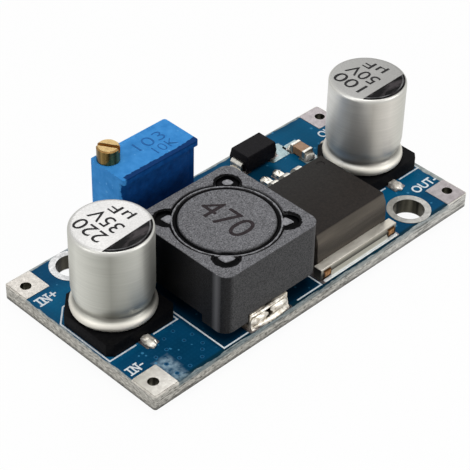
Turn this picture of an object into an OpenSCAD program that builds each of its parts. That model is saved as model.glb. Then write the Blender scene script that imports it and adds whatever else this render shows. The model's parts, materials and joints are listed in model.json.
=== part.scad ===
// Adjustable step-up converter module.
// A blue circuit board carries an input and an output capacitor, a shielded coil, a switching regulator,
// a rectifier diode, two chip parts and a multi-turn trimmer whose screw drives a worm wheel inside.
// All sizes are in millimetres. The origin is the centre of the board's underside, +Z is up,
// +X runs from the input end to the output end and +Y runs to the edge beside the trimmer.

/* [Board] */
// Thickness of the board
board_t = 1.6; // [0.8:0.1:2.4]
// Corner radius of the board
board_r = 0.3; // [0.1:0.1:2]
// Gap from a short edge of the board to the capacitor base beside it
end_gap = 0.35; // [0.2:0.05:3]
// Gap from the front edge of the board to the coil
front_gap = 0.7; // [0.6:0.05:3]
// Gap from the rear edge of the board to the trimmer
back_gap = 0.85; // [0.5:0.05:3]
// Gap between the input capacitor's base and the coil
cap_coil_gap = 0.58; // [0.4:0.02:3]
// Gap between the coil and the regulator's tab
coil_reg_gap = 0.55; // [0.4:0.01:3]
// Gap between the regulator's tab and the output capacitor's base
reg_cap_gap = 1.55; // [0.6:0.05:4]
// Gap between the coil and the trimmer
coil_trim_gap = 2.35; // [1.8:0.05:5]
// Thickness of the tinned copper on each face of the board
copper_t = 0.06; // [0.03:0.01:0.12]
// Wall of the plating inside a hole
plating_t = 0.16; // [0.16:0.01:0.2]
// Margin of a copper land around the foot that is soldered to it
land_margin = 0.3; // [0.15:0.05:0.5]
// Corner radius of a copper land
land_r = 0.15; // [0.05:0.05:0.3]

/* [Mounting holes] */
// Diameter of a mounting hole
mount_hole_d = 3.2; // [2.2:0.1:3.4]
// Outer diameter of the plated ring around a mounting hole
mount_ring_d = 4.5; // [4:0.1:5]
// Distance of a mounting hole from the nearest short edge
mount_inset_x = 6.4; // [5.5:0.1:7]
// Distance of a mounting hole from the nearest long edge
mount_inset_y = 2.3; // [2.3:0.1:2.6]

/* [Wire pads] */
// Size of a wire pad along X
pad_l = 2.8; // [2:0.1:3]
// Size of a wire pad along Y
pad_w = 3; // [2:0.1:3.2]
// Gap from a wire pad to the edges of the board
pad_edge_gap = 0.12; // [0.05:0.01:0.3]
// Corner radius of a wire pad
pad_r = 0.15; // [0.05:0.05:0.5]
// Diameter of the wire hole in a pad
wire_hole_d = 1.1; // [0.6:0.1:1.6]
// Distance of the wire hole from the middle of its pad, towards the short edge
wire_hole_shift = 0.25; // [0:0.05:0.4]

/* [Capacitors] */
// Diameter of a can
can_d = 7.85; // [5:0.05:8.1]
// Overall height of a capacitor
cap_h = 10.85; // [6:0.05:14]
// Width of a capacitor's square base
cap_base_w = 8.3; // [8.2:0.1:9]
// Thickness of a capacitor's base
cap_base_t = 1.45; // [1:0.05:2]
// Chamfer on the two rear corners of the base, which mark the positive side
cap_mark_chamfer = 1.95; // [0.8:0.05:2.2]
// Chamfer on the two front corners of the base
cap_base_chamfer = 0.55; // [0.2:0.05:1]
// Radius of the rounded top edge of a can
can_edge_r = 0.4; // [0.2:0.05:1]
// Radius of the curled ring at the foot of a can
can_curl_r = 0.6; // [0.3:0.05:0.7]
// Amount by which the curled ring stands out past the can
can_curl_out = 0.2; // [0:0.02:0.26]
// Height of the rolled groove above the base
can_groove_z = 1.55; // [1.2:0.05:2.5]
// Depth of the rolled groove
can_groove_depth = 0.26; // [0.1:0.02:0.5]
// Radius of the roller that made the groove
can_groove_r = 2.7; // [1:0.1:4]
// Width of a flat capacitor lead
cap_lead_w = 0.9; // [0.5:0.1:1.4]
// Thickness of a flat capacitor lead
cap_lead_t = 0.28; // [0.15:0.01:0.5]
// Length of a lead outside the base
cap_lead_out = 1; // [0.5:0.1:1.2]
// Distance between the two pins of a capacitor
cap_pin_pitch = 3.1; // [2:0.1:4.5]
// Diameter of a capacitor's pins
cap_pin_d = 0.6; // [0.4:0.1:0.9]

/* [Coil] */
// Width of the coil's square shield
coil_w = 12.3; // [11:0.1:13]
// Height of the coil above the board's copper
coil_h = 7.65; // [5:0.05:10]
// Radius of the shield's upright corners
coil_corner_r = 1.15; // [0.5:0.05:1.6]
// Diameter of the round opening in the shield
coil_bore_d = 10.7; // [9.8:0.1:10.9]
// Chamfer around the top of the shield's opening
coil_bore_chamfer = 0.15; // [0.05:0.05:0.3]
// Diameter of the drum's top flange
drum_top_d = 9.3; // [8:0.1:9.6]
// Diameter of the drum's bottom flange
drum_foot_d = 9.9; // [8:0.1:10.2]
// Diameter of the drum's post
drum_post_d = 4.8; // [3:0.1:6]
// Thickness of the drum's flanges
drum_flange_t = 1.5; // [0.8:0.1:2]
// Radius of the four glue pockets in the shield's corners
pocket_r = 1.2; // [0.8:0.1:1.3]
// Depth of the glue pockets
pocket_depth = 1.4; // [0.8:0.1:2]
// Depth of the glue's surface below the top of the coil
glue_drop = 0.2; // [0.1:0.05:0.5]
// Height of the two legs' ends above the board's copper
shield_lift = 0.9; // [0.4:0.05:1.2]
// Height of the shield's lower edge between the legs
shield_edge_z = 1.77; // [1.5:0.01:2.4]
// Width of the legs at two opposite corners of the shield
leg_w = 3; // [2:0.1:3.2]
// Gap between a leg and the terminal beside it
leg_gap = 0.1; // [0.05:0.05:1]
// Width of a coil terminal
coil_term_w = 4.9; // [3:0.1:5.5]
// Thickness of a coil terminal
coil_term_t = 0.3; // [0.2:0.05:0.5]
// Gap between a terminal's upturned end and the shield above it
coil_term_gap = 0.07; // [0.05:0.01:0.4]
// Width of the wire slot in a terminal's upturned end
coil_slot_w = 0.9; // [0.4:0.05:1.2]

/* [Regulator] */
// Width of the regulator's tab
reg_tab_w = 10.72; // [9.5:0.01:11]
// Thickness of the regulator's tab
reg_tab_t = 1.27; // [0.8:0.01:1.6]
// Length of the tab in front of the body
reg_tab_out = 1; // [0.6:0.05:1.6]
// Gap from the front edge of the board to the tab
reg_front_gap = 0.75; // [0.6:0.05:2]
// Width of the regulator's body
reg_body_w = 9.75; // [9:0.05:10.4]
// Depth of the regulator's body
reg_body_d = 9.05; // [8:0.05:9.5]
// Height of the regulator
reg_h = 4.45; // [3.6:0.05:5]
// Height of the steep lower part of the body's front
reg_front_h = 3.55; // [2.8:0.05:3.6]
// Depth of the sloped band along the top of the body's front
reg_front_slope = 0.4; // [0.2:0.05:0.8]
// Amount by which the body's faces lean in from the parting line
reg_draft = 0.12; // [0.02:0.01:0.3]
// Pitch of the regulator's leads
reg_pitch = 1.7; // [1.3:0.01:1.8]
// Width of a regulator lead
reg_lead_w = 0.8; // [0.5:0.05:0.9]
// Thickness of a regulator lead
reg_lead_t = 0.5; // [0.3:0.05:0.7]
// Height at which the leads leave the body
reg_lead_z = 2.15; // [1.9:0.05:2.6]
// Inner bend radius of a regulator lead
reg_lead_r = 0.35; // [0.2:0.05:0.5]
// Length of a lead from the body to its upright part
reg_lead_run = 2.2; // [1:0.05:2.4]
// Length of a lead's foot
reg_foot = 2.3; // [1.5:0.05:2.6]
// Width of the plastic on each side of the slug under the body
reg_slug_side = 0.8; // [0.5:0.05:1.2]
// Length of the body behind the slug
reg_slug_end = 1.4; // [1:0.05:2]
// Length of a lead inside the body
reg_lead_in = 1; // [0.6:0.05:1.2]
// Width of the sheared stubs at the tab's front corners
reg_stub_w = 1; // [0.5:0.05:1.5]
// Distance of a stub from the tab's end
reg_stub_inset = 0.3; // [0.1:0.05:0.6]
// Length of the sheared stubs
reg_stub_out = 0.15; // [0.05:0.01:0.2]
// Distance of the mark from the body's side and rear
reg_mark_inset = 1.2; // [0.8:0.05:2]
// Diameter of the mark in the top of the body
reg_mark_d = 0.9; // [0.5:0.1:1.5]
// Depth of the mark in the top of the body
reg_mark_depth = 0.08; // [0.04:0.02:0.3]

/* [Diode] */
// Length of the diode's body
diode_l = 4.3; // [3.6:0.1:4.6]
// Width of the diode's body
diode_w = 2.65; // [2:0.05:3]
// Height of the diode
diode_h = 2.25; // [1.8:0.05:2.6]
// Distance from the right edge of the board to the middle of the diode
diode_inset_x = 12.3; // [11.8:0.1:13]
// Distance from the rear edge of the board to the middle of the diode
diode_inset_y = 2.5; // [2.1:0.05:2.8]
// Amount by which the diode's faces lean in from the parting line
diode_draft = 0.14; // [0.02:0.01:0.25]
// Width of a diode lead
diode_lead_w = 1.5; // [1:0.05:2]
// Thickness of a diode lead
diode_lead_t = 0.25; // [0.15:0.01:0.3]
// Length of a diode lead outside the body
diode_lead_out = 0.4; // [0.35:0.05:0.6]
// Length of the foot turned in under the body
diode_foot = 1.1; // [0.7:0.05:1.4]
// Length of a diode lead inside the body
diode_lead_in = 0.6; // [0.4:0.05:0.8]
// Inner bend radius of a diode lead
diode_lead_r = 0.1; // [0.05:0.01:0.15]

/* [Chip parts] */
// Length of a chip part
chip_l = 2; // [1.6:0.1:3.4]
// Width of a chip part
chip_w = 1.25; // [0.8:0.05:1.7]
// Height of the chip capacitor
chip_cap_h = 0.95; // [0.5:0.05:1.4]
// Height of the chip resistor
chip_res_h = 0.6; // [0.4:0.05:0.8]
// Length of a chip part's metal end
chip_end = 0.35; // [0.2:0.05:0.6]
// Amount by which a metal end stands out past the chip
chip_end_out = 0.04; // [0.02:0.01:0.08]
// Gap between the output capacitor's base and the chip capacitor
chip_gap = 0.5; // [0.1:0.02:0.7]
// Distance from the right edge of the board to the chip capacitor
chip_inset_x = 7.5; // [7:0.1:7.8]
// Distance from the trimmer to the chip resistor
chip_trim_gap = 3.4; // [2.4:0.1:3.8]

/* [Trimmer] */
// Length of the trimmer
trim_l = 9.6; // [9.4:0.1:10.5]
// Depth of the trimmer
trim_d = 4.8; // [4.7:0.1:5.6]
// Height of the trimmer above the board
trim_h = 10; // [9.6:0.1:11]
// Height of the trimmer's feet
trim_foot_h = 0.35; // [0.2:0.05:0.6]
// Gap between the mounting ring and the trimmer
ring_trim_gap = 1.65; // [1:0.05:2.5]
// Depth by which the sealed face lies behind the top rim
trim_recess = 0.5; // [0.3:0.05:0.6]
// Thickness of the top rim
trim_rim_t = 0.6; // [0.4:0.05:0.8]
// Radius of the housing's upright edges
trim_r = 0.3; // [0.1:0.05:0.5]
// Wall around the sealed opening
trim_wall = 0.75; // [0.5:0.05:1]
// Thickness of the sealing resin
resin_t = 0.7; // [0.4:0.05:0.75]
// Thickness of the ceramic element
element_t = 0.6; // [0.4:0.05:0.65]
// Diameter of a trimmer pin
trim_pin_d = 0.5; // [0.4:0.05:0.6]
// Pitch of the trimmer's pins
trim_pin_pitch = 2.54; // [2:0.01:2.8]
// Length of a pin below the board
trim_pin_out = 0.8; // [0.5:0.1:2]
// Diameter of a pin's hole in the board
trim_hole_d = 0.9; // [0.8:0.05:1.2]

/* [Trimmer drive] */
// Distance of the screw's axis from the trimmer's end
screw_inset_x = 1.25; // [1.2:0.05:1.4]
// Distance of the screw's axis from the trimmer's rear face
screw_inset_y = 1.25; // [1.2:0.05:1.35]
// Diameter of the screw's head
screw_head_d = 2.26; // [1.8:0.02:2.3]
// Height of the screw's head
screw_head_h = 1.55; // [0.8:0.05:2]
// Chamfer on the rim of the screw's head
screw_chamfer = 0.15; // [0.05:0.05:0.3]
// Width of the slot in the screw's head
screw_slot_w = 0.45; // [0.3:0.05:0.6]
// Depth of the slot in the screw's head
screw_slot_depth = 0.6; // [0.3:0.05:0.7]
// Direction of the slot at rest, in degrees from +X
screw_slot_turn = -58; // [-90:1:90]
// Diameter of the screw's shank
screw_shank_d = 1.4; // [1.3:0.05:1.5]
// Diameter of the journal under the worm
screw_journal_d = 0.9; // [0.7:0.05:1]
// Length of the journal under the worm
screw_journal_l = 0.8; // [0.4:0.05:1]
// Thickness of the seal's ring
seal_t = 0.5; // [0.4:0.05:0.52]
// Turns of the worm's thread
worm_turns = 7; // [5:1:7]
// Pitch radius of the worm
worm_r = 0.68; // [0.64:0.01:0.7]
// Teeth on the worm wheel
wheel_teeth = 33; // [31:2:35]
// Pitch radius of the worm wheel
wheel_r = 2.7; // [2.6:0.02:2.72]
// Height of a tooth above its pitch line
tooth_add = 0.14; // [0.1:0.01:0.16]
// Depth of a tooth below its pitch line
tooth_ded = 0.18; // [0.17:0.01:0.19]
// Thickness of the worm wheel
wheel_t = 0.8; // [0.5:0.05:0.8]
// Thickness of the worm wheel's hub
hub_t = 0.4; // [0.3:0.05:0.45]
// Diameter of the post that the worm wheel turns on
post_d = 1.6; // [1.2:0.1:2]
// Thickness of the wiper's disc
wiper_t = 0.2; // [0.1:0.02:0.25]

/* [Fits] */
// Play between two pieces that are seated in each other
seat_gap = 0.01; // [0.005:0.005:0.03]
// Radial play of a turning fit
run_gap = 0.05; // [0.02:0.01:0.08]
// Free space around a piece that turns
free_gap = 0.12; // [0.1:0.01:0.15]

/* [Hidden] */
$fn = 64;
cut = 1;

// Regulator, measured from the front of its tab
reg_back = reg_tab_out + reg_body_d;
reg_slug_w = reg_body_w - 2 * reg_slug_side;
reg_slug_back = reg_back - reg_slug_end;
reg_upright = reg_back + reg_lead_run;
reg_foot_end = reg_upright + reg_foot;
reg_leads = [-2, -1, 0, 1, 2];

// Layout of the board, from the pieces that stand in a row on it
board_l = 2 * (end_gap + cap_base_w) + cap_coil_gap + coil_w + coil_reg_gap + reg_tab_w + reg_cap_gap;
cap_reach = cap_base_w / 2 + cap_lead_out + land_margin;
board_w_row = front_gap + coil_w + coil_trim_gap + trim_d + back_gap;
board_w_ring = 2 * (cap_reach + mount_ring_d / 2 + mount_inset_y);
board_w = max(board_w_row, board_w_ring);
seat_z = board_t + copper_t;
in_cap_x = -board_l / 2 + end_gap + cap_base_w / 2;
out_cap_x = board_l / 2 - end_gap - cap_base_w / 2;
coil_x = in_cap_x + cap_base_w / 2 + cap_coil_gap + coil_w / 2;
coil_y = -board_w / 2 + front_gap + coil_w / 2;
reg_x = coil_x + coil_w / 2 + coil_reg_gap + reg_tab_w / 2;
reg_y = -board_w / 2 + reg_front_gap;
diode_x = board_l / 2 - diode_inset_x;
diode_y = board_w / 2 - diode_inset_y;
chip_cap_x = board_l / 2 - chip_inset_x;
chip_cap_y = cap_base_w / 2 + chip_gap + chip_end_out + chip_l / 2;
trim_x = -board_l / 2 + mount_inset_x + mount_ring_d / 2 + ring_trim_gap;
trim_y = board_w / 2 - back_gap - trim_d;
chip_res_x = trim_x + trim_l + chip_trim_gap;
chip_res_y = reg_y + reg_foot_end + 4 * land_margin + chip_end_out + chip_l / 2;
mount_x = board_l / 2 - mount_inset_x;
mount_y = board_w / 2 - mount_inset_y;
pad_x = board_l / 2 - pad_edge_gap - pad_l / 2;
pad_y = board_w / 2 - pad_edge_gap - pad_w / 2;

// Capacitor
can_r = can_d / 2;
cap_lead_end = cap_base_w / 2 + cap_lead_out;

// Coil
pocket_at = coil_bore_d / 2 - coil_bore_d / 8;
drum_h = coil_h - coil_term_t;
term_in = coil_w / 2 - drum_foot_d / 6;
coil_term_h = shield_edge_z - coil_term_gap;
coil_term_shift = coil_w / 2 - leg_w - leg_gap - coil_term_w / 2;

// Diode
diode_lead_z = diode_h / 2;
diode_reach = diode_l / 2 + diode_lead_out;

// Trimmer, measured from its front left corner on the board
resin_y = trim_recess;
element_y = resin_y + resin_t;
chamber_y = element_y + element_t;
screw_x = screw_inset_x;
screw_y = trim_d - screw_inset_y;
wheel_x = screw_x + worm_r + wheel_r;
wheel_z = trim_h * 0.51;
wheel_front = screw_y - wheel_t / 2;
wheel_back = screw_y + wheel_t / 2;
hub_front = wheel_front - hub_t;
wiper_front = hub_front - wiper_t;
chamber_back = wheel_back + free_gap;
element_z = trim_foot_h + trim_wall;
element_l = trim_l - 2 * trim_wall;
element_h = trim_h - trim_rim_t - trim_wall / 2 - element_z;
worm_pitch = 2 * PI * wheel_r / wheel_teeth;
worm_l = worm_turns * worm_pitch;
worm_z = wheel_z - worm_l / 2;
worm_bore_r = worm_r + tooth_add + free_gap;
seal_z = trim_h - trim_rim_t - seal_t / 2;
seal_r = screw_shank_d / 2 + seal_gap() + seal_t / 2;
trim_pin_y = element_y + element_t / 2;
pin_solder_r = trim_hole_d / 2 + land_margin;

function seal_gap() = 2 * seat_gap;

// Outlines that several pieces share

module rounded_rect(l, w, r) {
    square([l - 2 * r, w], center = true);
    square([l, w - 2 * r], center = true);
    for (sx = [-1, 1], sy = [-1, 1])
        translate([sx * (l / 2 - r), sy * (w / 2 - r)]) circle(r);
}

// A quarter of a bent strip, about the middle of the bend, in the quadrant of the two signs
module bend(r, t, sx, sy) {
    difference() {
        intersection() {
            circle(r + t);
            translate([min(0, sx * (r + t)), min(0, sy * (r + t))]) square(r + t);
        }
        circle(r);
    }
}

// A flat pad on both faces of the board, joined by the plating of the hole at the origin
module plated_hole(hole_d) {
    difference() {
        union() {
            translate([0, 0, board_t]) linear_extrude(copper_t) children();
            translate([0, 0, -copper_t]) linear_extrude(copper_t) children();
            cylinder(d = hole_d + 2 * plating_t, h = board_t);
        }
        translate([0, 0, -copper_t - cut]) cylinder(d = hole_d, h = seat_z + copper_t + 2 * cut);
    }
}

// A body with a parting line: its four sides lean in above and below the line
module drafted_block(l, w, h, line_z, draft) {
    intersection() {
        rotate([90, 0, 0]) linear_extrude(w, center = true) drafted_side(l, h, line_z, draft);
        rotate([90, 0, 90]) linear_extrude(l, center = true) drafted_side(w, h, line_z, draft);
    }
}

module drafted_side(l, h, line_z, draft) {
    polygon([[-l / 2 + draft, 0], [l / 2 - draft, 0], [l / 2, line_z], [l / 2 - draft, h],
        [-l / 2 + draft, h], [-l / 2, line_z]]);
}

// A meniscus of solder against an upright face at x = 0, running out to +X
module toe_fillet(w, reach, h) {
    rotate([90, 0, 0]) linear_extrude(w, center = true)
        polygon([[0, 0], [reach, 0], [reach * 0.45, h * 0.3], [0, h]]);
}

// Board and its copper

module wire_hole_at(sx, sy) {
    translate([sx * (pad_x + wire_hole_shift), sy * pad_y, 0]) children();
}

module mount_hole_at(s) {
    translate([s * mount_x, -s * mount_y, 0]) children();
}

module trim_pins_at() {
    for (i = [-1, 0, 1])
        translate([trim_x + wheel_x + i * trim_pin_pitch, trim_y + trim_pin_y, 0]) children();
}

module circuit_board() {
    color("#12568c") difference() {
        linear_extrude(board_t) rounded_rect(board_l, board_w, board_r);
        for (sx = [-1, 1], sy = [-1, 1]) wire_hole_at(sx, sy) board_hole(wire_hole_d + 2 * plating_t);
        for (s = [-1, 1]) mount_hole_at(s) board_hole(mount_hole_d + 2 * plating_t);
        trim_pins_at() board_hole(trim_hole_d);
    }
}

module board_hole(d) {
    translate([0, 0, -cut]) cylinder(d = d + 2 * seat_gap, h = board_t + 2 * cut);
}

module wire_pad(sx, sy) {
    color("#d8d8d4") wire_hole_at(sx, sy) plated_hole(wire_hole_d)
        translate([-sx * wire_hole_shift, 0]) rounded_rect(pad_l, pad_w, pad_r);
}

module mounting_ring(s) {
    color("#c9cbcc") mount_hole_at(s) plated_hole(mount_hole_d) circle(d = mount_ring_d);
}

// A land from x0 to x1 and y0 to y1 on the top of the board
module land(x0, x1, y0, y1) {
    translate([(x0 + x1) / 2, (y0 + y1) / 2, board_t]) linear_extrude(copper_t)
        rounded_rect(x1 - x0, y1 - y0, land_r);
}

module component_lands() {
    color("#c6c8c6") {
        for (x = [in_cap_x, out_cap_x], s = [-1, 1])
            land(x - cap_lead_w / 2 - land_margin, x + cap_lead_w / 2 + land_margin,
                min(s * cap_reach, s * cap_pin_pitch / 2), max(s * cap_reach, s * cap_pin_pitch / 2));
        for (s = [-1, 1])
            land(coil_x + s * coil_term_shift - coil_term_w / 2 - land_margin,
                coil_x + s * coil_term_shift + coil_term_w / 2 + land_margin,
                coil_y + min(s * term_in, s * (coil_w / 2 + 2 * land_margin)),
                coil_y + max(s * term_in, s * (coil_w / 2 + 2 * land_margin)));
        land(reg_x - reg_tab_w / 2 - land_margin / 3, reg_x + reg_tab_w / 2 + land_margin / 3,
            reg_y - reg_stub_out - land_margin, reg_y + reg_slug_back);
        for (i = reg_leads)
            land(reg_x + i * reg_pitch - reg_lead_w / 2 - land_margin / 3,
                reg_x + i * reg_pitch + reg_lead_w / 2 + land_margin / 3,
                reg_y + reg_upright - land_margin, reg_y + reg_foot_end + land_margin);
        for (s = [-1, 1])
            land(diode_x + min(s * (diode_reach + land_margin), s * (diode_reach - diode_foot - land_margin)),
                diode_x + max(s * (diode_reach + land_margin), s * (diode_reach - diode_foot - land_margin)),
                diode_y - diode_lead_w / 2 - land_margin, diode_y + diode_lead_w / 2 + land_margin);
        for (c = [[chip_cap_x, chip_cap_y], [chip_res_x, chip_res_y]], s = [-1, 1])
            land(c.x - chip_w / 2 - land_margin / 3, c.x + chip_w / 2 + land_margin / 3,
                c.y + min(s * (chip_l / 2 - chip_end), s * (chip_l / 2 + 2 * land_margin)),
                c.y + max(s * (chip_l / 2 - chip_end), s * (chip_l / 2 + 2 * land_margin)));
    }
}

module solder_fillets() {
    color("#dcdcd8") translate([0, 0, seat_z]) {
        for (x = [in_cap_x, out_cap_x], s = [-1, 1])
            translate([x, s * cap_lead_end, 0]) rotate(s * 90)
                toe_fillet(cap_lead_w, land_margin, cap_lead_t);
        for (s = [-1, 1], side = [-1, 1])
            translate([coil_x + s * coil_term_shift + side * (coil_slot_w + coil_term_w) / 4,
                    coil_y + s * (coil_w / 2 + coil_term_t / 2), 0])
                rotate(s * 90) toe_fillet((coil_term_w - coil_slot_w) / 2, land_margin, coil_term_h * 0.6);
        translate([reg_x, reg_y, 0]) rotate(-90)
            toe_fillet(reg_tab_w - 2 * reg_stub_inset - 2 * reg_stub_w, land_margin, reg_tab_t * 0.4);
        for (i = reg_leads)
            translate([reg_x + i * reg_pitch, reg_y + reg_foot_end, 0]) rotate(90)
                toe_fillet(reg_lead_w, land_margin, reg_lead_t);
        for (s = [-1, 1])
            translate([diode_x + s * diode_reach, diode_y, 0]) rotate(90 - s * 90)
                toe_fillet(diode_lead_w, land_margin, diode_h / 4);
        for (s = [-1, 1]) {
            chip_fillet(chip_cap_x, chip_cap_y, s, s < 0 ? min(chip_gap * 0.8, land_margin) : land_margin,
                chip_cap_h);
            chip_fillet(chip_res_x, chip_res_y, s, land_margin, chip_res_h);
        }
    }
}

module chip_fillet(x, y, s, reach, h) {
    translate([x, y + s * (chip_l / 2 + chip_end_out), 0]) rotate(s * 90)
        toe_fillet(chip_w, reach, h * 0.7);
}

// Capacitors, each about its own axis and standing on the board's copper

module cap_base_outline() {
    h = cap_base_w / 2;
    m = cap_mark_chamfer;
    c = cap_base_chamfer;
    polygon([[-h + c, -h], [h - c, -h], [h, -h + c], [h, h - m], [h - m, h], [-h + m, h], [-h, h - m],
        [-h, -h + c]]);
}

module can_profile() {
    difference() {
        union() {
            translate([0, cap_base_t]) square([can_r + can_curl_out - can_curl_r, can_curl_r]);
            translate([0, cap_base_t + can_curl_r])
                square([can_r, cap_h - can_edge_r - cap_base_t - can_curl_r]);
            translate([0, cap_base_t + can_curl_r])
                square([can_r - can_edge_r, cap_h - cap_base_t - can_curl_r]);
            translate([can_r - can_edge_r, cap_h - can_edge_r]) circle(can_edge_r);
        }
        translate([can_r + can_groove_r - can_groove_depth, cap_base_t + can_groove_z])
            circle(can_groove_r);
    }
    translate([can_r + can_curl_out - can_curl_r, cap_base_t + can_curl_r]) circle(can_curl_r);
}

module capacitor_can(x) {
    color("#c4c3bf") translate([x, 0, seat_z]) rotate_extrude() can_profile();
}

module capacitor_base(x) {
    color("#1b1b1d") translate([x, 0, seat_z]) difference() {
        linear_extrude(cap_base_t) cap_base_outline();
        for (s = [-1, 1]) {
            translate([0, s * cap_pin_pitch / 2, -cut])
                cylinder(d = cap_pin_d + 2 * seat_gap, h = cap_base_t + 2 * cut);
            translate([-cap_lead_w / 2 - seat_gap, min(s * cap_base_w, s * cap_lead_inner()), -cut])
                cube([cap_lead_w + 2 * seat_gap, cap_base_w - cap_lead_inner(),
                    cap_lead_t + seat_gap + cut]);
        }
    }
}

function cap_lead_inner() = cap_pin_pitch / 2 - cap_lead_w / 2 - seat_gap;

module capacitor_lead(x, s) {
    lead_l = cap_lead_end - cap_pin_pitch / 2 + cap_lead_w / 2;
    color("#d2d2ce") translate([x, 0, seat_z]) {
        translate([-cap_lead_w / 2, s > 0 ? cap_lead_end - lead_l : -cap_lead_end, 0])
            cube([cap_lead_w, lead_l, cap_lead_t]);
        translate([0, s * cap_pin_pitch / 2, 0]) cylinder(d = cap_pin_d, h = cap_base_t);
    }
}

// Coil, about the axis of its drum

module at_coil() {
    translate([coil_x, coil_y, seat_z]) children();
}

// The square corner of the shield in which a leg stands, at the front left and at the rear right
module leg_corner() {
    for (s = [-1, 1]) translate([s * (coil_w - leg_w) / 2, s * (coil_w - leg_w) / 2])
        square(leg_w, center = true);
}

module pockets(r) {
    for (sx = [-1, 1], sy = [-1, 1]) translate([sx * pocket_at, sy * pocket_at]) circle(r);
}

module coil_shield() {
    color("#3d3d40") at_coil() difference() {
        translate([0, 0, shield_lift]) linear_extrude(coil_h - shield_lift)
            rounded_rect(coil_w, coil_w, coil_corner_r);
        translate([0, 0, -cut]) linear_extrude(shield_edge_z + cut) difference() {
            square(coil_w + cut, center = true);
            leg_corner();
        }
        translate([0, 0, -cut]) cylinder(d = coil_bore_d, h = coil_h + 2 * cut);
        translate([0, 0, coil_h - coil_bore_chamfer])
            cylinder(d1 = coil_bore_d, d2 = coil_bore_d + 4 * coil_bore_chamfer, h = 2 * coil_bore_chamfer);
        translate([0, 0, coil_h - pocket_depth]) linear_extrude(pocket_depth + cut) pockets(pocket_r);
    }
}

module coil_drum() {
    r = drum_top_d / 2;
    c = coil_bore_chamfer;
    color("#55555a") at_coil() translate([0, 0, coil_term_t]) rotate_extrude()
        polygon([[0, 0], [drum_foot_d / 2, 0], [drum_foot_d / 2, drum_flange_t],
            [drum_post_d / 2, drum_flange_t], [drum_post_d / 2, drum_h - drum_flange_t],
            [r, drum_h - drum_flange_t], [r, drum_h - c], [r - c, drum_h], [0, drum_h]]);
}

module coil_winding() {
    color("#b5652b") at_coil() translate([0, 0, coil_term_t + drum_flange_t + seat_gap])
        difference() {
            cylinder(d = drum_top_d - 2 * free_gap, h = drum_h - 2 * drum_flange_t - 2 * seat_gap);
            translate([0, 0, -cut]) cylinder(d = drum_post_d + 2 * seat_gap, h = drum_h);
        }
}

module coil_glue() {
    color("#0c0c0d") at_coil() translate([0, 0, coil_h - pocket_depth + seat_gap])
        linear_extrude(pocket_depth - seat_gap - glue_drop) difference() {
            union() {
                circle(d = coil_bore_d - 2 * seat_gap);
                pockets(pocket_r - seat_gap);
            }
            circle(d = drum_top_d + 2 * seat_gap);
        }
}

module coil_terminal(s) {
    color("#d9d8d2") at_coil() rotate(s > 0 ? 180 : 0) translate([-coil_term_shift, 0, 0]) difference() {
        union() {
            translate([-coil_term_w / 2, -coil_w / 2 - coil_term_t / 2, 0])
                cube([coil_term_w, coil_w / 2 + coil_term_t / 2 - term_in + drum_foot_d / 4, coil_term_t]);
            translate([-coil_term_w / 2, -coil_w / 2 - coil_term_t / 2, 0])
                cube([coil_term_w, coil_term_t, coil_term_h]);
        }
        translate([-coil_slot_w / 2, -coil_w / 2 - coil_term_t / 2 - cut, coil_term_t])
            cube([coil_slot_w, coil_term_t + 2 * cut, coil_term_h]);
    }
}

// Regulator, from the middle of its tab's front edge

module at_reg() {
    translate([reg_x, reg_y, seat_z]) children();
}

module reg_tab_solid(gap) {
    translate([-reg_tab_w / 2, 0, 0]) cube([reg_tab_w, reg_tab_out, reg_tab_t]);
    translate([-reg_slug_w / 2 - gap, 0, -gap]) cube([reg_slug_w + 2 * gap, reg_slug_back + gap,
        reg_tab_t + 2 * gap]);
}

module regulator_body() {
    line_z = reg_lead_z + reg_lead_t / 2;
    color("#2e2b2a") at_reg() difference() {
        intersection() {
            translate([0, reg_back / 2, 0]) rotate([90, 0, 0]) linear_extrude(2 * reg_back, center = true)
                drafted_side(reg_body_w, reg_h, line_z, reg_draft);
            rotate([90, 0, 90]) linear_extrude(2 * reg_body_w, center = true)
                polygon([[reg_tab_out, 0], [reg_back - reg_draft, 0], [reg_back, line_z],
                    [reg_back - 2 * reg_draft, reg_h], [reg_tab_out + reg_draft + reg_front_slope, reg_h],
                    [reg_tab_out + reg_draft, reg_front_h], [reg_tab_out, reg_tab_t]]);
        }
        translate([-reg_slug_w / 2, 0, -cut]) cube([reg_slug_w, reg_slug_back, reg_tab_t + cut]);
        for (i = reg_leads) translate([i * reg_pitch, 0, 0]) reg_lead_solid();
        translate([reg_body_w / 2 - reg_mark_inset, reg_back - reg_mark_inset, reg_h - reg_mark_depth])
            cylinder(d = reg_mark_d, h = cut);
    }
}

module regulator_tab() {
    color("#cfcac2") at_reg() {
        reg_tab_solid(0);
        for (s = [-1, 1])
            translate([s * (reg_tab_w / 2 - reg_stub_inset - reg_stub_w / 2) - reg_stub_w / 2, -reg_stub_out,
                    reg_tab_t / 4])
                cube([reg_stub_w, reg_stub_out, reg_tab_t / 2]);
    }
}

module reg_lead_solid() {
    t = reg_lead_t;
    r = reg_lead_r;
    translate([-reg_lead_w / 2, 0, 0]) rotate([90, 0, 90]) linear_extrude(reg_lead_w) {
        translate([reg_back - reg_lead_in, reg_lead_z])
            square([reg_upright - r - t - reg_back + reg_lead_in, t]);
        translate([reg_upright - r - t, reg_lead_z - r]) bend(r, t, 1, 1);
        translate([reg_upright - t, t + r]) square([t, reg_lead_z - 2 * r - t]);
        translate([reg_upright + r, t + r]) bend(r, t, -1, -1);
        translate([reg_upright + r, 0]) square([reg_foot - r, t]);
    }
}

module regulator_lead(i) {
    color("#d5d4cf") at_reg() translate([i * reg_pitch, 0, 0]) reg_lead_solid();
}

// Diode, about the middle of its body

module at_diode() {
    translate([diode_x, diode_y, seat_z]) children();
}

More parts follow.
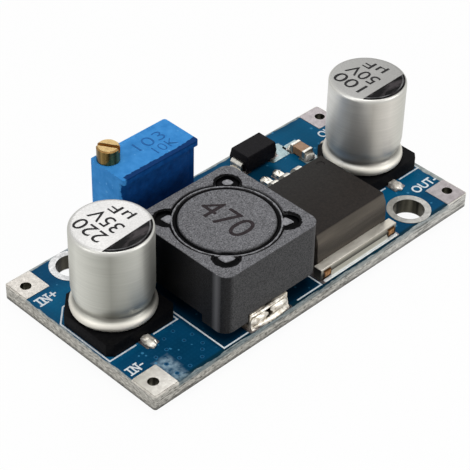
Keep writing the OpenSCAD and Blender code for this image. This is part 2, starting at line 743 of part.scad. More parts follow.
module diode_lead_solid(s) {
    t = diode_lead_t;
    r = diode_lead_r;
    mirror([s > 0 ? 0 : 1, 0, 0]) rotate([90, 0, 0]) linear_extrude(diode_lead_w, center = true) {
        translate([diode_l / 2 - diode_lead_in, diode_lead_z])
            square([diode_lead_out + diode_lead_in - r - t, t]);
        translate([diode_reach - r - t, diode_lead_z - r]) bend(r, t, 1, 1);
        translate([diode_reach - t, t + r]) square([t, diode_lead_z - t - 2 * r]);
        translate([diode_reach - r - t, t + r]) bend(r, t, 1, -1);
        translate([diode_reach - diode_foot, 0]) square([diode_foot - r - t, t]);
    }
}

module diode_body() {
    lift = diode_lead_t + seat_gap;
    color("#1d1c1e") at_diode() difference() {
        translate([0, 0, lift])
            drafted_block(diode_l, diode_w, diode_h - lift, diode_lead_z + diode_lead_t / 2 - lift,
                diode_draft);
        for (s = [-1, 1]) diode_lead_solid(s);
    }
}

module diode_lead(s) {
    color("#d5d4cf") at_diode() diode_lead_solid(s);
}

// Chip parts, each about the middle of its footprint, with its length along Y

module chip_body(x, y, h) {
    translate([x, y, seat_z + chip_end_out]) translate([-chip_w / 2, -chip_l / 2 + chip_end, 0])
        cube([chip_w, chip_l - 2 * chip_end, h - 2 * chip_end_out]);
}

module chip_ends(x, y, h) {
    color("#d9d8d4") translate([x, y, seat_z]) for (s = [-1, 1])
        translate([0, s * (chip_l / 2 - chip_end / 2 + chip_end_out / 2), 0])
            linear_extrude(h) rounded_rect(chip_w + 2 * chip_end_out, chip_end + chip_end_out, chip_end / 4);
}

module chip_capacitor() {
    color("#a07a55") chip_body(chip_cap_x, chip_cap_y, chip_cap_h);
}

module chip_resistor() {
    color("#1f1f22") chip_body(chip_res_x, chip_res_y, chip_res_h);
}

// Trimmer, from its front left corner on the board

module at_trim() {
    translate([trim_x, trim_y, board_t]) children();
}

module at_screw() {
    at_trim() translate([screw_x, screw_y, 0]) children();
}

// Upright in the wheel's own plane: local Z runs along +Y, from the wheel's axis
module at_wheel(y) {
    at_trim() translate([wheel_x, y, wheel_z]) rotate([-90, 0, 0]) children();
}

// A full-length block of the housing, from y back to its rear face and from z0 up to z1
module housing_block(y, z0, z1) {
    translate([trim_l / 2, (y + trim_d) / 2, z0]) linear_extrude(z1 - z0)
        rounded_rect(trim_l, trim_d - y, trim_r);
}

module trimmer_housing() {
    foot_l = 1.5 * trim_wall;
    color("#2e7fd0") {
        difference() {
            at_trim() {
                housing_block(trim_recess, trim_foot_h, trim_h);
                housing_block(0, trim_h - trim_rim_t, trim_h);
                for (x = [trim_r, trim_l - trim_r - foot_l],
                        y = [trim_recess + trim_r, trim_d - trim_r - foot_l])
                    translate([x, y, 0]) cube([foot_l, foot_l, trim_foot_h + seat_gap]);
            }
            at_trim() translate([trim_wall, trim_recess - cut, element_z])
                cube([element_l, chamber_y - trim_recess + cut, element_h]);
            at_wheel(chamber_y - seat_gap)
                cylinder(r = wheel_r + tooth_add + free_gap, h = chamber_back - chamber_y + seat_gap);
            at_screw() translate([0, 0, worm_z - free_gap])
                cylinder(r = worm_bore_r, h = worm_l + 2 * free_gap);
            at_screw() translate([0, 0, wheel_z])
                cylinder(d = screw_shank_d + 2 * run_gap, h = trim_h);
            at_screw() translate([0, 0, worm_z - screw_journal_l - free_gap])
                cylinder(d = screw_journal_d + 2 * run_gap, h = worm_l);
            at_screw() translate([0, 0, seal_z - seal_t / 2 - seat_gap])
                cylinder(r = seal_r + seal_t / 2 + seat_gap, h = seal_t + 2 * seat_gap);
            trim_pins_at() translate([0, 0, board_t - cut])
                cylinder(d = trim_pin_d + 2 * seat_gap, h = element_z + 2 * cut);
        }
        at_wheel(hub_front + wiper_t) cylinder(d = post_d, h = chamber_back - hub_front - wiper_t);
    }
}

module trimmer_resin() {
    color("#153a78") at_trim() translate([trim_wall + seat_gap, resin_y, element_z + seat_gap])
        cube([element_l - 2 * seat_gap, resin_t, element_h - 2 * seat_gap]);
}

module trimmer_element() {
    color("#e6e2d8") at_trim() translate([trim_wall + seat_gap, element_y, element_z + seat_gap])
        cube([element_l - 2 * seat_gap, element_t, element_h - 2 * seat_gap]);
}

module trimmer_pins() {
    color("#cfcfca") trim_pins_at() translate([0, 0, -trim_pin_out])
        cylinder(d = trim_pin_d, h = trim_pin_out + board_t + element_z + seat_gap);
}

// Solder that fills a pin's hole and stands as a cone under the board
module trimmer_pin_solder() {
    pin_r = trim_pin_d / 2 + seat_gap;
    color("#dcdcd8") trim_pins_at() rotate_extrude()
        polygon([[pin_r, board_t], [trim_hole_d / 2, board_t], [trim_hole_d / 2, 0], [pin_solder_r, 0],
            [pin_r * 1.4, -trim_pin_out * 0.7], [pin_r, -trim_pin_out * 0.8]]);
}

// Cross-section of the worm's single thread, with its crest towards +X
module worm_section() {
    half_crest = 34;
    half_root = 118;
    half_flank = (half_crest + half_root) / 2;
    tip = worm_r + tooth_add;
    root = worm_r - tooth_ded;
    half = [[0, tip], [half_crest, tip], [half_flank, worm_r - (tooth_ded - tooth_add) / 2],
        [half_root, root], [(half_root + 180) / 2, root]];
    other = [for (i = [len(half) - 1:-1:1]) [-half[i][0], half[i][1]]];
    polygon([for (p = concat(half, [[180, root]], other)) p[1] * [cos(p[0]), sin(p[0])]]);
}

module trimmer_screw() {
    slices_per_turn = 12;
    color("#b8964f") at_screw() {
        difference() {
            translate([0, 0, trim_h + run_gap]) rotate_extrude()
                polygon([[0, 0], [screw_head_d / 2, 0], [screw_head_d / 2, screw_head_h - screw_chamfer],
                    [screw_head_d / 2 - screw_chamfer, screw_head_h], [0, screw_head_h]]);
            translate([0, 0, trim_h + run_gap + screw_head_h - screw_slot_depth]) rotate(screw_slot_turn)
                translate([-screw_head_d, -screw_slot_w / 2, 0])
                    cube([2 * screw_head_d, screw_slot_w, 2 * screw_slot_depth]);
        }
        translate([0, 0, worm_z + worm_l])
            cylinder(d = screw_shank_d, h = trim_h + run_gap - worm_z - worm_l);
        translate([0, 0, worm_z]) rotate(-180 * worm_turns)
            linear_extrude(worm_l, twist = -360 * worm_turns, slices = slices_per_turn * worm_turns, $fn = 11)
                worm_section();
        translate([0, 0, worm_z - screw_journal_l])
            cylinder(d = screw_journal_d, h = screw_journal_l + worm_l + cut);
    }
}

module trimmer_seal() {
    color("#141414") at_screw() translate([0, 0, seal_z]) rotate_extrude()
        translate([seal_r, 0]) circle(d = seal_t);
}

// The gap between two teeth faces the worm at rest
module wheel_section() {
    pitch = 360 / wheel_teeth;
    tip = wheel_r + tooth_add;
    root = wheel_r - tooth_ded;
    half_tip = 0.12 * pitch;
    half_root = 0.3 * pitch;
    polygon([for (i = [0:wheel_teeth - 1], p = [[-half_root, root], [-half_tip, tip], [half_tip, tip],
        [half_root, root]]) p[1] * [cos(i * pitch + p[0]), sin(i * pitch + p[0])]]);
}

module trimmer_wheel() {
    color("#e9e4d4") difference() {
        union() {
            at_wheel(wheel_front) linear_extrude(wheel_t) wheel_section();
            at_wheel(hub_front) cylinder(r = wheel_r * 0.75, h = hub_t);
        }
        at_wheel(hub_front + wiper_t - run_gap)
            cylinder(d = post_d + 2 * run_gap, h = wheel_t + hub_t);
    }
}

// A disc on the hub with two sprung fingers that reach towards the element
module trimmer_wiper() {
    disc_r = wheel_r * 0.6;
    finger_w = 0.5;
    finger_l = disc_r * 0.8;
    reach = wiper_front - chamber_y - run_gap;
    color("#c8a24a") {
        at_wheel(wiper_front) cylinder(r = disc_r, h = wiper_t);
        for (s = [-1, 1])
            at_wheel(wiper_front) rotate([90, 0, 0]) translate([0, 0, s * finger_w - finger_w / 2])
                linear_extrude(finger_w)
                    polygon([[-finger_l, 0], [-finger_l + wiper_t, 0], [finger_l, -reach + wiper_t],
                        [finger_l, -reach], [finger_l - wiper_t, -reach]]);
    }
}

circuit_board();
wire_pad(-1, 1);  // wire_pad_in_plus
wire_pad(-1, -1);  // wire_pad_in_minus
wire_pad(1, 1);  // wire_pad_out_plus
wire_pad(1, -1);  // wire_pad_out_minus
mounting_ring(1);  // mounting_ring_front
mounting_ring(-1);  // mounting_ring_rear
component_lands();
solder_fillets();
capacitor_can(in_cap_x);  // input_capacitor_can
capacitor_base(in_cap_x);  // input_capacitor_base
capacitor_lead(in_cap_x, 1);  // input_capacitor_lead_plus
capacitor_lead(in_cap_x, -1);  // input_capacitor_lead_minus
capacitor_can(out_cap_x);  // output_capacitor_can
capacitor_base(out_cap_x);  // output_capacitor_base
capacitor_lead(out_cap_x, 1);  // output_capacitor_lead_plus
capacitor_lead(out_cap_x, -1);  // output_capacitor_lead_minus
coil_shield();
coil_drum();
coil_winding();
coil_glue();
coil_terminal(-1);  // coil_terminal_front
coil_terminal(1);  // coil_terminal_rear
regulator_body();
regulator_tab();
regulator_lead(-2);  // regulator_lead_1
regulator_lead(-1);  // regulator_lead_2
regulator_lead(0);  // regulator_lead_3
regulator_lead(1);  // regulator_lead_4
regulator_lead(2);  // regulator_lead_5
diode_body();
diode_lead(-1);  // diode_lead_left
diode_lead(1);  // diode_lead_right
chip_capacitor();
chip_ends(chip_cap_x, chip_cap_y, chip_cap_h);  // chip_capacitor_ends
chip_resistor();
chip_ends(chip_res_x, chip_res_y, chip_res_h);  // chip_resistor_ends
trimmer_housing();
trimmer_resin();
trimmer_element();
trimmer_pins();
trimmer_pin_solder();
trimmer_screw();
trimmer_seal();
trimmer_wheel();
trimmer_wiper();
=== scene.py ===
"""The looks of an adjustable step-up converter module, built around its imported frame.

Places and sizes are in millimetres in the part's own frame, and MM turns them into Blender's metres.
"""

import json
import math

import bmesh
import bpy
from mathutils import Matrix, Vector


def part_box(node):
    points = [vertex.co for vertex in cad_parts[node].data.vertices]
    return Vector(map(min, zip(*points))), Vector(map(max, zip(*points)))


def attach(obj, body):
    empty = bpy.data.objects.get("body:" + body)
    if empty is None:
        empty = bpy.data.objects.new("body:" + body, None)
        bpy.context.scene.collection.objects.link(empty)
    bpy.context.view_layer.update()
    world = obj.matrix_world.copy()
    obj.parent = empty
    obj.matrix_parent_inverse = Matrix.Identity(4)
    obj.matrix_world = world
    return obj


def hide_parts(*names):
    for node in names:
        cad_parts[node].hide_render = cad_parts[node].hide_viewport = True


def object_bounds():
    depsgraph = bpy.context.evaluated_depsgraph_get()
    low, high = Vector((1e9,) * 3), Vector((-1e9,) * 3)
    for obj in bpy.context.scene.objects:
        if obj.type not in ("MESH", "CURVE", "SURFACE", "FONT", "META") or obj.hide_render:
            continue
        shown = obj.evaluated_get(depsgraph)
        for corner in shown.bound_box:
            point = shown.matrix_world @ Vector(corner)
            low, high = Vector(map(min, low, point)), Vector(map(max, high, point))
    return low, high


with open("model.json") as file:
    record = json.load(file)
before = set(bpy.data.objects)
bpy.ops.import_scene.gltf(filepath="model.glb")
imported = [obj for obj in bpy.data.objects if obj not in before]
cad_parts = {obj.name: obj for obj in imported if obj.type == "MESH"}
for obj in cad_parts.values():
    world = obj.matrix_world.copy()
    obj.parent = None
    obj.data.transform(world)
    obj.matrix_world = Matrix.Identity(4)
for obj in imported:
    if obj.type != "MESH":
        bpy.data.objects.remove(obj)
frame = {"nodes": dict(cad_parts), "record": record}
CAD_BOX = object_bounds()
NODES = frame["nodes"]
MM = 0.001
# Points closer than this, in millimetres, are merged
MERGE_GAP = 0.0005
# Further out than any piece, for a field of colour with no end on that side
FAR = 30
# A little over a half, because a ball draws in when its skin is smoothed
BALL_R = 0.53


# Places that are read from the frame, in millimetres

def corners(node):
    low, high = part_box(node)
    return low / MM, high / MM


def middle(node):
    low, high = corners(node)
    return (low + high) / 2


BOARD_LOW, BOARD_HIGH = corners("circuit_board")
BOARD_TOP = BOARD_HIGH.z
LAND_TOP = corners("component_lands")[1].z
IN_CAN, OUT_CAN = middle("input_capacitor_can"), middle("output_capacitor_can")
CAN_TOP = corners("input_capacitor_can")[1].z
BASE_TOP = corners("input_capacitor_base")[1].z
COIL, COIL_TOP = middle("coil_shield"), corners("coil_shield")[1].z
COIL_LOW = corners("coil_shield")[0]
TAB_LOW, TAB_HIGH = corners("regulator_tab")
# The stubs at the tab's corners: their width, step in from the end and reach, and the bare metal's heights
STUB_W, STUB_INSET, STUB_OUT = 1.0, 0.3, 0.15
STUB_LOW, STUB_HIGH = 2.02, 2.55
TAB_FRONT = TAB_LOW.y + STUB_OUT
REG_FRONT, REG_TOP = corners("regulator_body")[0].y, corners("regulator_body")[1].z
TRIM_LOW, TRIM_HIGH = corners("trimmer_housing")
RESIN_FACE = corners("trimmer_resin")[0].y
GLUE_TOP = corners("coil_glue")[1].z
SCREW, SCREW_TOP = middle("trimmer_screw"), corners("trimmer_screw")[1].z
SCREW_R = corners("trimmer_screw")[1].x - SCREW.x


# Modelling by hand: small steps that the pieces below share

def put_down():
    """Leaves edit mode and lets go of everything."""
    if bpy.context.object and bpy.context.object.mode != "OBJECT":
        bpy.ops.object.mode_set(mode="OBJECT")
    bpy.ops.object.select_all(action="DESELECT")


def take(piece):
    """Makes the piece the only one in hand."""
    put_down()
    piece.select_set(True)
    bpy.context.view_layer.objects.active = piece
    return piece


def open_up(piece):
    """Goes into edit mode with every face selected."""
    take(piece)
    bpy.ops.object.mode_set(mode="EDIT")
    bpy.ops.mesh.select_all(action="SELECT")
    return piece


def pick(what, test):
    """Selects the verts or faces whose middle, in millimetres, passes the test."""
    bpy.ops.mesh.select_mode(type={"verts": "VERT", "faces": "FACE"}[what])
    bpy.ops.mesh.select_all(action="DESELECT")
    mesh = bpy.context.object.data
    shape = bmesh.from_edit_mesh(mesh)
    for part in getattr(shape, what):
        spot = part.co if what == "verts" else part.calc_center_median()
        part.select_set(bool(test(spot / MM)))
    shape.select_flush_mode()
    bmesh.update_edit_mesh(mesh)


def fresh(name):
    """The primitive that was just added, under its own name."""
    piece = bpy.context.object
    piece.name = piece.data.name = name
    return piece


def add_modifier(piece, kind, **settings):
    """Puts a modifier on the piece and applies it."""
    take(piece)
    modifier = piece.modifiers.new(kind.lower(), kind)
    for key, value in settings.items():
        setattr(modifier, key, value)
    bpy.ops.object.modifier_apply(modifier=modifier.name)


def settle(piece):
    """Puts the piece's place, turn and size into its mesh."""
    take(piece)
    bpy.ops.object.transform_apply(location=True, rotation=True, scale=True)
    return piece


def join(name, pieces):
    """Makes one piece of several."""
    take(pieces[0])
    for piece in pieces:
        piece.select_set(True)
    bpy.ops.object.join()
    return fresh(name)


def copy_to(piece, name, shift):
    """A copy with its own mesh, moved by a shift in millimetres."""
    other = bpy.data.objects.new(name, piece.data.copy())
    bpy.context.scene.collection.objects.link(other)
    other.data.name = name
    other.location = Vector(shift) * MM
    return settle(other)


def node_copy(node, name):
    """A copy of a CAD node's mesh, merged and with its flat faces made whole."""
    piece = bpy.data.objects.new(name, NODES[node].data.copy())
    bpy.context.scene.collection.objects.link(piece)
    open_up(piece)
    bpy.ops.mesh.customdata_custom_splitnormals_clear()
    bpy.ops.mesh.remove_doubles(threshold=MERGE_GAP * MM)
    bpy.ops.mesh.dissolve_limited(angle_limit=math.radians(0.5))
    put_down()
    return piece


def eased(node, name, width, steps=2, angle=35):
    """A copy of a CAD node with its sharp edges rounded by a width in millimetres."""
    piece = node_copy(node, name)
    add_modifier(piece, "BEVEL", width=width * MM, segments=steps, limit_method="ANGLE",
                 angle_limit=math.radians(angle), use_clamp_overlap=True, miter_outer="MITER_ARC")
    return piece


def turned(name, profile, at, steps):
    """A piece turned about an upright axis, from a profile of (radius, height) points."""
    put_down()
    x, y = at
    bpy.ops.mesh.primitive_plane_add(size=MM)
    piece = fresh(name)
    open_up(piece)
    bpy.ops.mesh.select_mode(type="VERT")
    bpy.ops.mesh.merge(type="CENTER")
    bpy.ops.transform.translate(value=((x + profile[0][0]) * MM, y * MM, profile[0][1] * MM))
    for (r0, z0), (r1, z1) in zip(profile, profile[1:]):
        step = ((r1 - r0) * MM, 0, (z1 - z0) * MM)
        bpy.ops.mesh.extrude_region_move(TRANSFORM_OT_translate={"value": step})
    bpy.ops.mesh.select_all(action="SELECT")
    bpy.ops.mesh.spin(steps=steps, angle=math.tau, center=(x * MM, y * MM, 0), axis=(0, 0, 1))
    bpy.ops.mesh.select_all(action="SELECT")
    bpy.ops.mesh.remove_doubles(threshold=MERGE_GAP * MM)
    bpy.ops.mesh.normals_make_consistent(inside=False)
    put_down()
    return piece


def lump(name, at, size, seed, uneven, turn=0, low=LAND_TOP, taper=0.0):
    """A lump of solder or glue: a ball pulled to a size, with an uneven skin, cut flat where it lies."""
    put_down()
    bpy.ops.mesh.primitive_ico_sphere_add(subdivisions=2, radius=BALL_R * MM)
    piece = fresh(name)
    open_up(piece)
    bpy.ops.transform.vertex_random(offset=uneven * MM, uniform=0.3, normal=0.9, seed=seed)
    put_down()
    add_modifier(piece, "SUBSURF", levels=2)
    if taper:
        add_modifier(piece, "SIMPLE_DEFORM", deform_method="TAPER", deform_axis="X", factor=taper,
                     lock_z=True)
    piece.scale = size
    piece.rotation_euler = (0, 0, math.radians(turn))
    piece.location = Vector(at) * MM
    settle(piece)
    open_up(piece)
    bpy.ops.mesh.bisect(plane_co=(0, 0, low * MM), plane_no=(0, 0, 1), use_fill=True, clear_inner=True)
    put_down()
    return piece


def sheet(name, low, high, height):
    """A flat sheet between two corners at a height, opened for editing."""
    put_down()
    mid = (Vector(low) + Vector(high)) / 2
    size = Vector(high) - Vector(low)
    bpy.ops.mesh.primitive_plane_add(size=MM, location=(mid.x * MM, mid.y * MM, height * MM))
    piece = fresh(name)
    piece.scale = (size.x, size.y, 1)
    return open_up(settle(piece))


def plate(name, low, high, top, thickness, corner):
    """A flat rounded plate between two corners, its upper face at a height."""
    piece = sheet(name, low, high, top)
    bpy.ops.mesh.bevel(offset=corner * MM, affect="VERTICES", segments=4)
    put_down()
    add_modifier(piece, "SOLIDIFY", thickness=thickness * MM, offset=-1)
    return piece


def dress(piece, material, replaces=(), angle=35):
    """Gives a finished piece its shading and material, and fixes it to the board."""
    take(piece)
    bpy.ops.object.shade_smooth_by_angle(angle=math.radians(angle))
    piece.data.materials.clear()
    piece.data.materials.append(material)
    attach(piece, "board")
    if replaces:
        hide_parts(*replaces)
    put_down()
    return piece


def lettering(name, words, width, height, thickness, at, turn, weight):
    """Flat letters of a width and height, lying at a place and turned about Z."""
    put_down()
    bpy.ops.object.text_add()
    text = fresh(name)
    text.data.body = words
    text.data.align_x = "CENTER"
    text.data.size = 1
    text.data.offset = weight
    text.data.extrude = 0.05
    bpy.ops.object.convert(target="MESH")
    letters = fresh(name)
    box = [Vector(corner) for corner in letters.bound_box]
    low, high = box[0], box[6]
    letters.data.transform(Matrix.Translation(-(low + high) / 2))
    size = high - low
    letters.scale = (width * MM / size.x, height * MM / size.y, thickness * MM / size.z)
    letters.rotation_euler = (0, 0, math.radians(turn))
    letters.location = (Vector(at) + Vector((0, 0, thickness / 2))) * MM
    settle(letters)
    open_up(letters)
    bpy.ops.mesh.remove_doubles(threshold=MERGE_GAP * MM)
    put_down()
    return letters


# Shader helpers

def paint(code):
    """A colour from its hex code, as linear light."""
    parts = [int(code[i:i + 2], 16) / 255 for i in (1, 3, 5)]
    return tuple(c / 12.92 if c <= 0.04045 else ((c + 0.055) / 1.055) ** 2.4 for c in parts) + (1.0,)


def node(tree, kind, inputs=None, **settings):
    """Adds a shader node, sets it and links or fills its inputs."""
    made = tree.nodes.new("ShaderNode" + kind)
    for key, value in settings.items():
        setattr(made, key, value)
    for key, value in (inputs or {}).items():
        if isinstance(value, bpy.types.NodeSocket):
            tree.links.new(value, made.inputs[key])
        else:
            made.inputs[key].default_value = value
    return made


def calc(tree, operation, *values):
    made = node(tree, "Math", dict(enumerate(values)), operation=operation)
    return made.outputs[0]


def times(tree, *values):
    """The product of two or more values."""
    product = values[0]
    for value in values[1:]:
        product = calc(tree, "MULTIPLY", product, value)
    return product


def vector_calc(tree, operation, *values):
    made = node(tree, "VectorMath", dict(enumerate(values)), operation=operation)
    return made.outputs["Value" if operation == "LENGTH" else "Vector"]


def axes_of(tree, place):
    """The X, Y and Z of a place."""
    return node(tree, "SeparateXYZ", {0: place}).outputs


def off_axis(tree, place, centre):
    """How far a place is from an upright axis through a centre."""
    off = vector_calc(tree, "SUBTRACT", place, (centre.x, centre.y, 0))
    return vector_calc(tree, "LENGTH", vector_calc(tree, "MULTIPLY", off, (1, 1, 0)))


def between(tree, value, low, high, out_low=0.0, out_high=1.0):
    """A value from low to high, stretched to out_low and out_high and held there."""
    made = node(tree, "MapRange", {0: value, 1: low, 2: high, 3: out_low, 4: out_high})
    return made.outputs[0]


def blend(tree, share, first, second):
    """Mixes two colours, each a hex code or the output of another node."""
    first, second = (paint(colour) if isinstance(colour, str) else colour for colour in (first, second))
    made = node(tree, "Mix", {0: share, 6: first, 7: second}, data_type="RGBA")
    return made.outputs[2]


def new_group(name, inputs, outputs):
    """An empty shader node group: its tree, its input sockets and its output node."""
    group = bpy.data.node_groups.new(name, "ShaderNodeTree")
    for label, kind in inputs:
        group.interface.new_socket(label, in_out="INPUT", socket_type="NodeSocket" + kind)
    for label, kind in outputs:
        group.interface.new_socket(label, in_out="OUTPUT", socket_type="NodeSocket" + kind)
    entry = group.nodes.new("NodeGroupInput")
    leave = group.nodes.new("NodeGroupOutput")
    return group, entry.outputs, leave


def make_grain():
    """Soft clouds of one grain size, from 0 to 1."""
    group, given, leave = new_group("grain", [("Place", "Vector"), ("Size", "Float"), ("Depth", "Float")],
                                    [("Value", "Float")])
    scale = calc(group, "DIVIDE", 1.0, given["Size"])
    cloud = node(group, "TexNoise", {"Vector": given["Place"], "Scale": scale, "Detail": given["Depth"]})
    value = between(group, cloud.outputs[0], 0.3, 0.7)
    group.links.new(value, leave.inputs["Value"])
    return group


def make_flecks():
    """Scattered small spots: 1 in a spot and 0 around it."""
    group, given, leave = new_group("flecks", [("Place", "Vector"), ("Pitch", "Float"), ("Share", "Float")],
                                    [("Mask", "Float")])
    scale = calc(group, "DIVIDE", 1.0, given["Pitch"])
    cells = node(group, "TexVoronoi", {"Vector": given["Place"], "Scale": scale})
    chosen = node(group, "SeparateColor", {0: cells.outputs["Color"]})
    kept = calc(group, "LESS_THAN", chosen.outputs[0], given["Share"])
    reach = times(group, chosen.outputs[1], 0.45)
    inside = calc(group, "SUBTRACT", reach, cells.outputs["Distance"])
    spot = between(group, inside, 0.0, 0.12)
    mask = times(group, spot, kept)
    group.links.new(mask, leave.inputs["Mask"])
    return group


def make_patch():
    """A soft-edged box: 1 inside it and 0 outside."""
    group, given, leave = new_group("patch", [("Place", "Vector"), ("Middle", "Vector"), ("Half", "Vector"),
                                              ("Soft", "Float")], [("Mask", "Float")])
    off = vector_calc(group, "SUBTRACT", given["Place"], given["Middle"])
    room = vector_calc(group, "SUBTRACT", given["Half"], vector_calc(group, "ABSOLUTE", off))
    x, y, z = axes_of(group, room)
    least = calc(group, "MINIMUM", calc(group, "MINIMUM", x, y), z)
    soft = times(group, given["Soft"], -1.0)
    mask = between(group, least, soft, given["Soft"])
    group.links.new(mask, leave.inputs["Mask"])
    return group


GRAIN, FLECKS, PATCH = make_grain(), make_flecks(), make_patch()


def place_of(tree):
    """Object coordinates in millimetres."""
    where = node(tree, "TexCoord")
    scaled = node(tree, "VectorMath", {0: where.outputs["Object"], "Scale": 1 / MM}, operation="SCALE")
    return scaled.outputs[0]


def grain(tree, place, size, depth):
    """Clouds of a grain size in millimetres, and how many finer layers they have."""
    made = node(tree, "Group", {"Place": place, "Size": size, "Depth": depth}, node_tree=GRAIN)
    return made.outputs["Value"]


def flecks(tree, place, pitch, share):
    """Spots at a pitch in millimetres, in a share of the cells."""
    made = node(tree, "Group", {"Place": place, "Pitch": pitch, "Share": share}, node_tree=FLECKS)
    return made.outputs["Mask"]


def patch(tree, place, low, high, soft):
    """A mask for the box between two corners."""
    low, high = Vector(low), Vector(high)
    made = node(tree, "Group", {"Place": place, "Middle": (low + high) / 2, "Half": (high - low) / 2,
                                "Soft": soft}, node_tree=PATCH)
    return made.outputs["Mask"]


def stretched(tree, place, scale, turn=(0, 0, 0)):
    """The place, turned and stretched for a pattern that has a direction."""
    made = node(tree, "Mapping", {"Vector": place, "Scale": scale,
                                  "Rotation": tuple(math.radians(a) for a in turn)})
    return made.outputs[0]


def new_material(name, **values):
    material = bpy.data.materials.new(name)
    material.use_nodes = True
    tree = material.node_tree
    shader = tree.nodes["Principled BSDF"]
    for key, value in values.items():
        shader.inputs[key.replace("_", " ").title().replace("Ior", "IOR")].default_value = value
    return material, tree, shader, place_of(tree)


def bumped(tree, shader, height, depth):
    """Raises the surface by a height from 0 to 1 times a depth in millimetres."""
    bump = node(tree, "Bump", {"Height": height, "Distance": depth * MM, "Strength": 1.0})
    tree.links.new(bump.outputs[0], shader.inputs["Normal"])


def coloured(tree, shader, colour):
    tree.links.new(colour, shader.inputs["Base Color"])


def roughened(tree, shader, value, low, high):
    """Roughness from low to high as a value goes from 0 to 1."""
    tree.links.new(between(tree, value, 0, 1, low, high), shader.inputs["Roughness"])


def skin(tree, shader, place, size, rough, bump, depth=2.0):
    """A fine grain of a size that changes the gloss and raises the surface."""
    fine = grain(tree, place, size, depth)
    roughened(tree, shader, fine, *rough)
    bumped(tree, shader, fine, bump)


def finish_of(name, dark, light, size, rough, bump, **values):
    """A plain finish: its colour wanders from dark to light in grains of a size, its gloss with them."""
    material, tree, shader, place = new_material(name, **values)
    coloured(tree, shader, blend(tree, grain(tree, place, size, 4.0), dark, light))
    skin(tree, shader, place, size / 3, rough, bump)
    return material


# Finishes

# Thickness of the mask's field at the faces of the board
COAT_T = 0.05
# Copper under the mask shows as a paler blue; the left field's soft edge is also painted light, fading into
# the coil's shade
LEFT_POUR_AND_LIGHT = ((-20.9, -4.2, -1), (-15.4, 6.9, 3))
RIGHT_POURS = (((6.0, 2.6, -1), (21.2, 10.2, 3)), ((12.4, -6.9, -1), (21.2, 5.6, 3)))
# Painted shade: the mask is a darker blue under the coil and in front of the diode, each field with its
# soft edge
PAINTED_SHADE_FIELDS = (((-12.8, -10.0, 1), (0.5, 3.2, 2), 0.3), ((4.0, 4.8, 1), (10.2, 8.6, 2), 0.5))
SCUFFS = (((-18.6, -8.9, 1), (-17.0, -7.2, 2)), ((-18.5, -10.3, 1), (-17.2, -9.0, 2)))


def bare_corners(tree, place):
    """The fields between each wire pad and the edges, where the mask is left off."""
    bare = 0.0
    for pad in ("in_plus", "in_minus", "out_plus", "out_minus"):
        low, high = corners("wire_pad_" + pad)
        mid = (low + high) / 2
        low.x, high.x = (-FAR, high.x) if mid.x < 0 else (low.x, FAR)
        low.y, high.y = (-FAR, high.y) if mid.y < 0 else (low.y, FAR)
        around = patch(tree, place, (low.x, low.y, -FAR), (high.x, high.y, FAR), 0.02)
        bare = calc(tree, "MAXIMUM", bare, around)
    return bare


def mask_field(tree, place, axes, masked):
    """Where the mask lies: on both faces, up to an uneven line a little before the cut edges."""
    x, y, z = axes
    top = between(tree, z, BOARD_TOP - COAT_T, BOARD_TOP - COAT_T / 2)
    under = between(tree, z, BOARD_LOW.z + COAT_T / 2, BOARD_LOW.z + COAT_T, 1, 0)
    mask = calc(tree, "MAXIMUM", top, under)
    strip = between(tree, grain(tree, place, 1.6, 4.0), 0, 1, -0.1, 0.14)
    strip = calc(tree, "SUBTRACT", strip, between(tree, x, 19.2, 20.6, 0, 0.3))
    end_room = calc(tree, "SUBTRACT", BOARD_HIGH.x, calc(tree, "ABSOLUTE", x))
    end_room = calc(tree, "SUBTRACT", end_room, between(tree, x, -5, 5, 0.08, 0.22))
    side_room = calc(tree, "SUBTRACT", BOARD_HIGH.y, calc(tree, "ABSOLUTE", y))
    side_room = calc(tree, "SUBTRACT", side_room, between(tree, y, -5, 5, 0.1, 0.22))
    room = calc(tree, "ADD", calc(tree, "MINIMUM", end_room, side_room), strip)
    return times(tree, mask, between(tree, room, -0.04, 0.04), masked)


def glass_weave(tree, place):
    """The threads of the glass cloth, crossing each other."""
    threads = []
    for direction, stretch in (("X", (1, 0.05, 1)), ("Y", (0.05, 1, 1))):
        along = stretched(tree, place, stretch)
        wave = node(tree, "TexWave", {"Vector": along, "Scale": 0.75, "Distortion": 0.4},
                    bands_direction=direction)
        threads.append(wave.outputs[1])
    return times(tree, *threads)


def mask_blue(tree, place, y, weave):
    """The blue of the mask: paler over copper and in painted light, specked, painted shade in two fields
    and at the front edge, scuffed at the input.
    """
    # Paler over copper, and painted light that fades towards the coil
    pour_and_light = patch(tree, place, *LEFT_POUR_AND_LIGHT, 0.9)
    for low, high in RIGHT_POURS:
        thin = times(tree, patch(tree, place, low, high, 0.9), 0.6)
        pour_and_light = calc(tree, "MAXIMUM", pour_and_light, thin)
    blue = blend(tree, grain(tree, place, 6.0, 3.0), "#043653", "#084a70")
    blue = blend(tree, times(tree, pour_and_light, 0.6), blue, "#0a6c97")
    blue = blend(tree, times(tree, weave, 0.03), blue, "#3d8fb4")
    blue = blend(tree, flecks(tree, place, 0.45, 0.13), blue, "#377ba2")
    # Painted shade under the coil and in front of the diode
    for low, high, soft in PAINTED_SHADE_FIELDS:
        painted_shade = times(tree, patch(tree, place, low, high, soft), 0.7)
        blue = blend(tree, painted_shade, blue, "#030c14")
    # Painted shade along the front edge of the mask
    front_edge_shade = between(tree, y, BOARD_LOW.y + 0.35, BOARD_LOW.y + 0.6, 0.8, 0)
    blue = blend(tree, front_edge_shade, blue, "#0c2a33")
    scuff = grain(tree, place, 0.5, 5.0)
    for low, high in SCUFFS:
        pale_mark = times(tree, patch(tree, place, low, high, 0.3), scuff, 0.7)
        blue = blend(tree, pale_mark, blue, "#a9c4d2")
    return blue


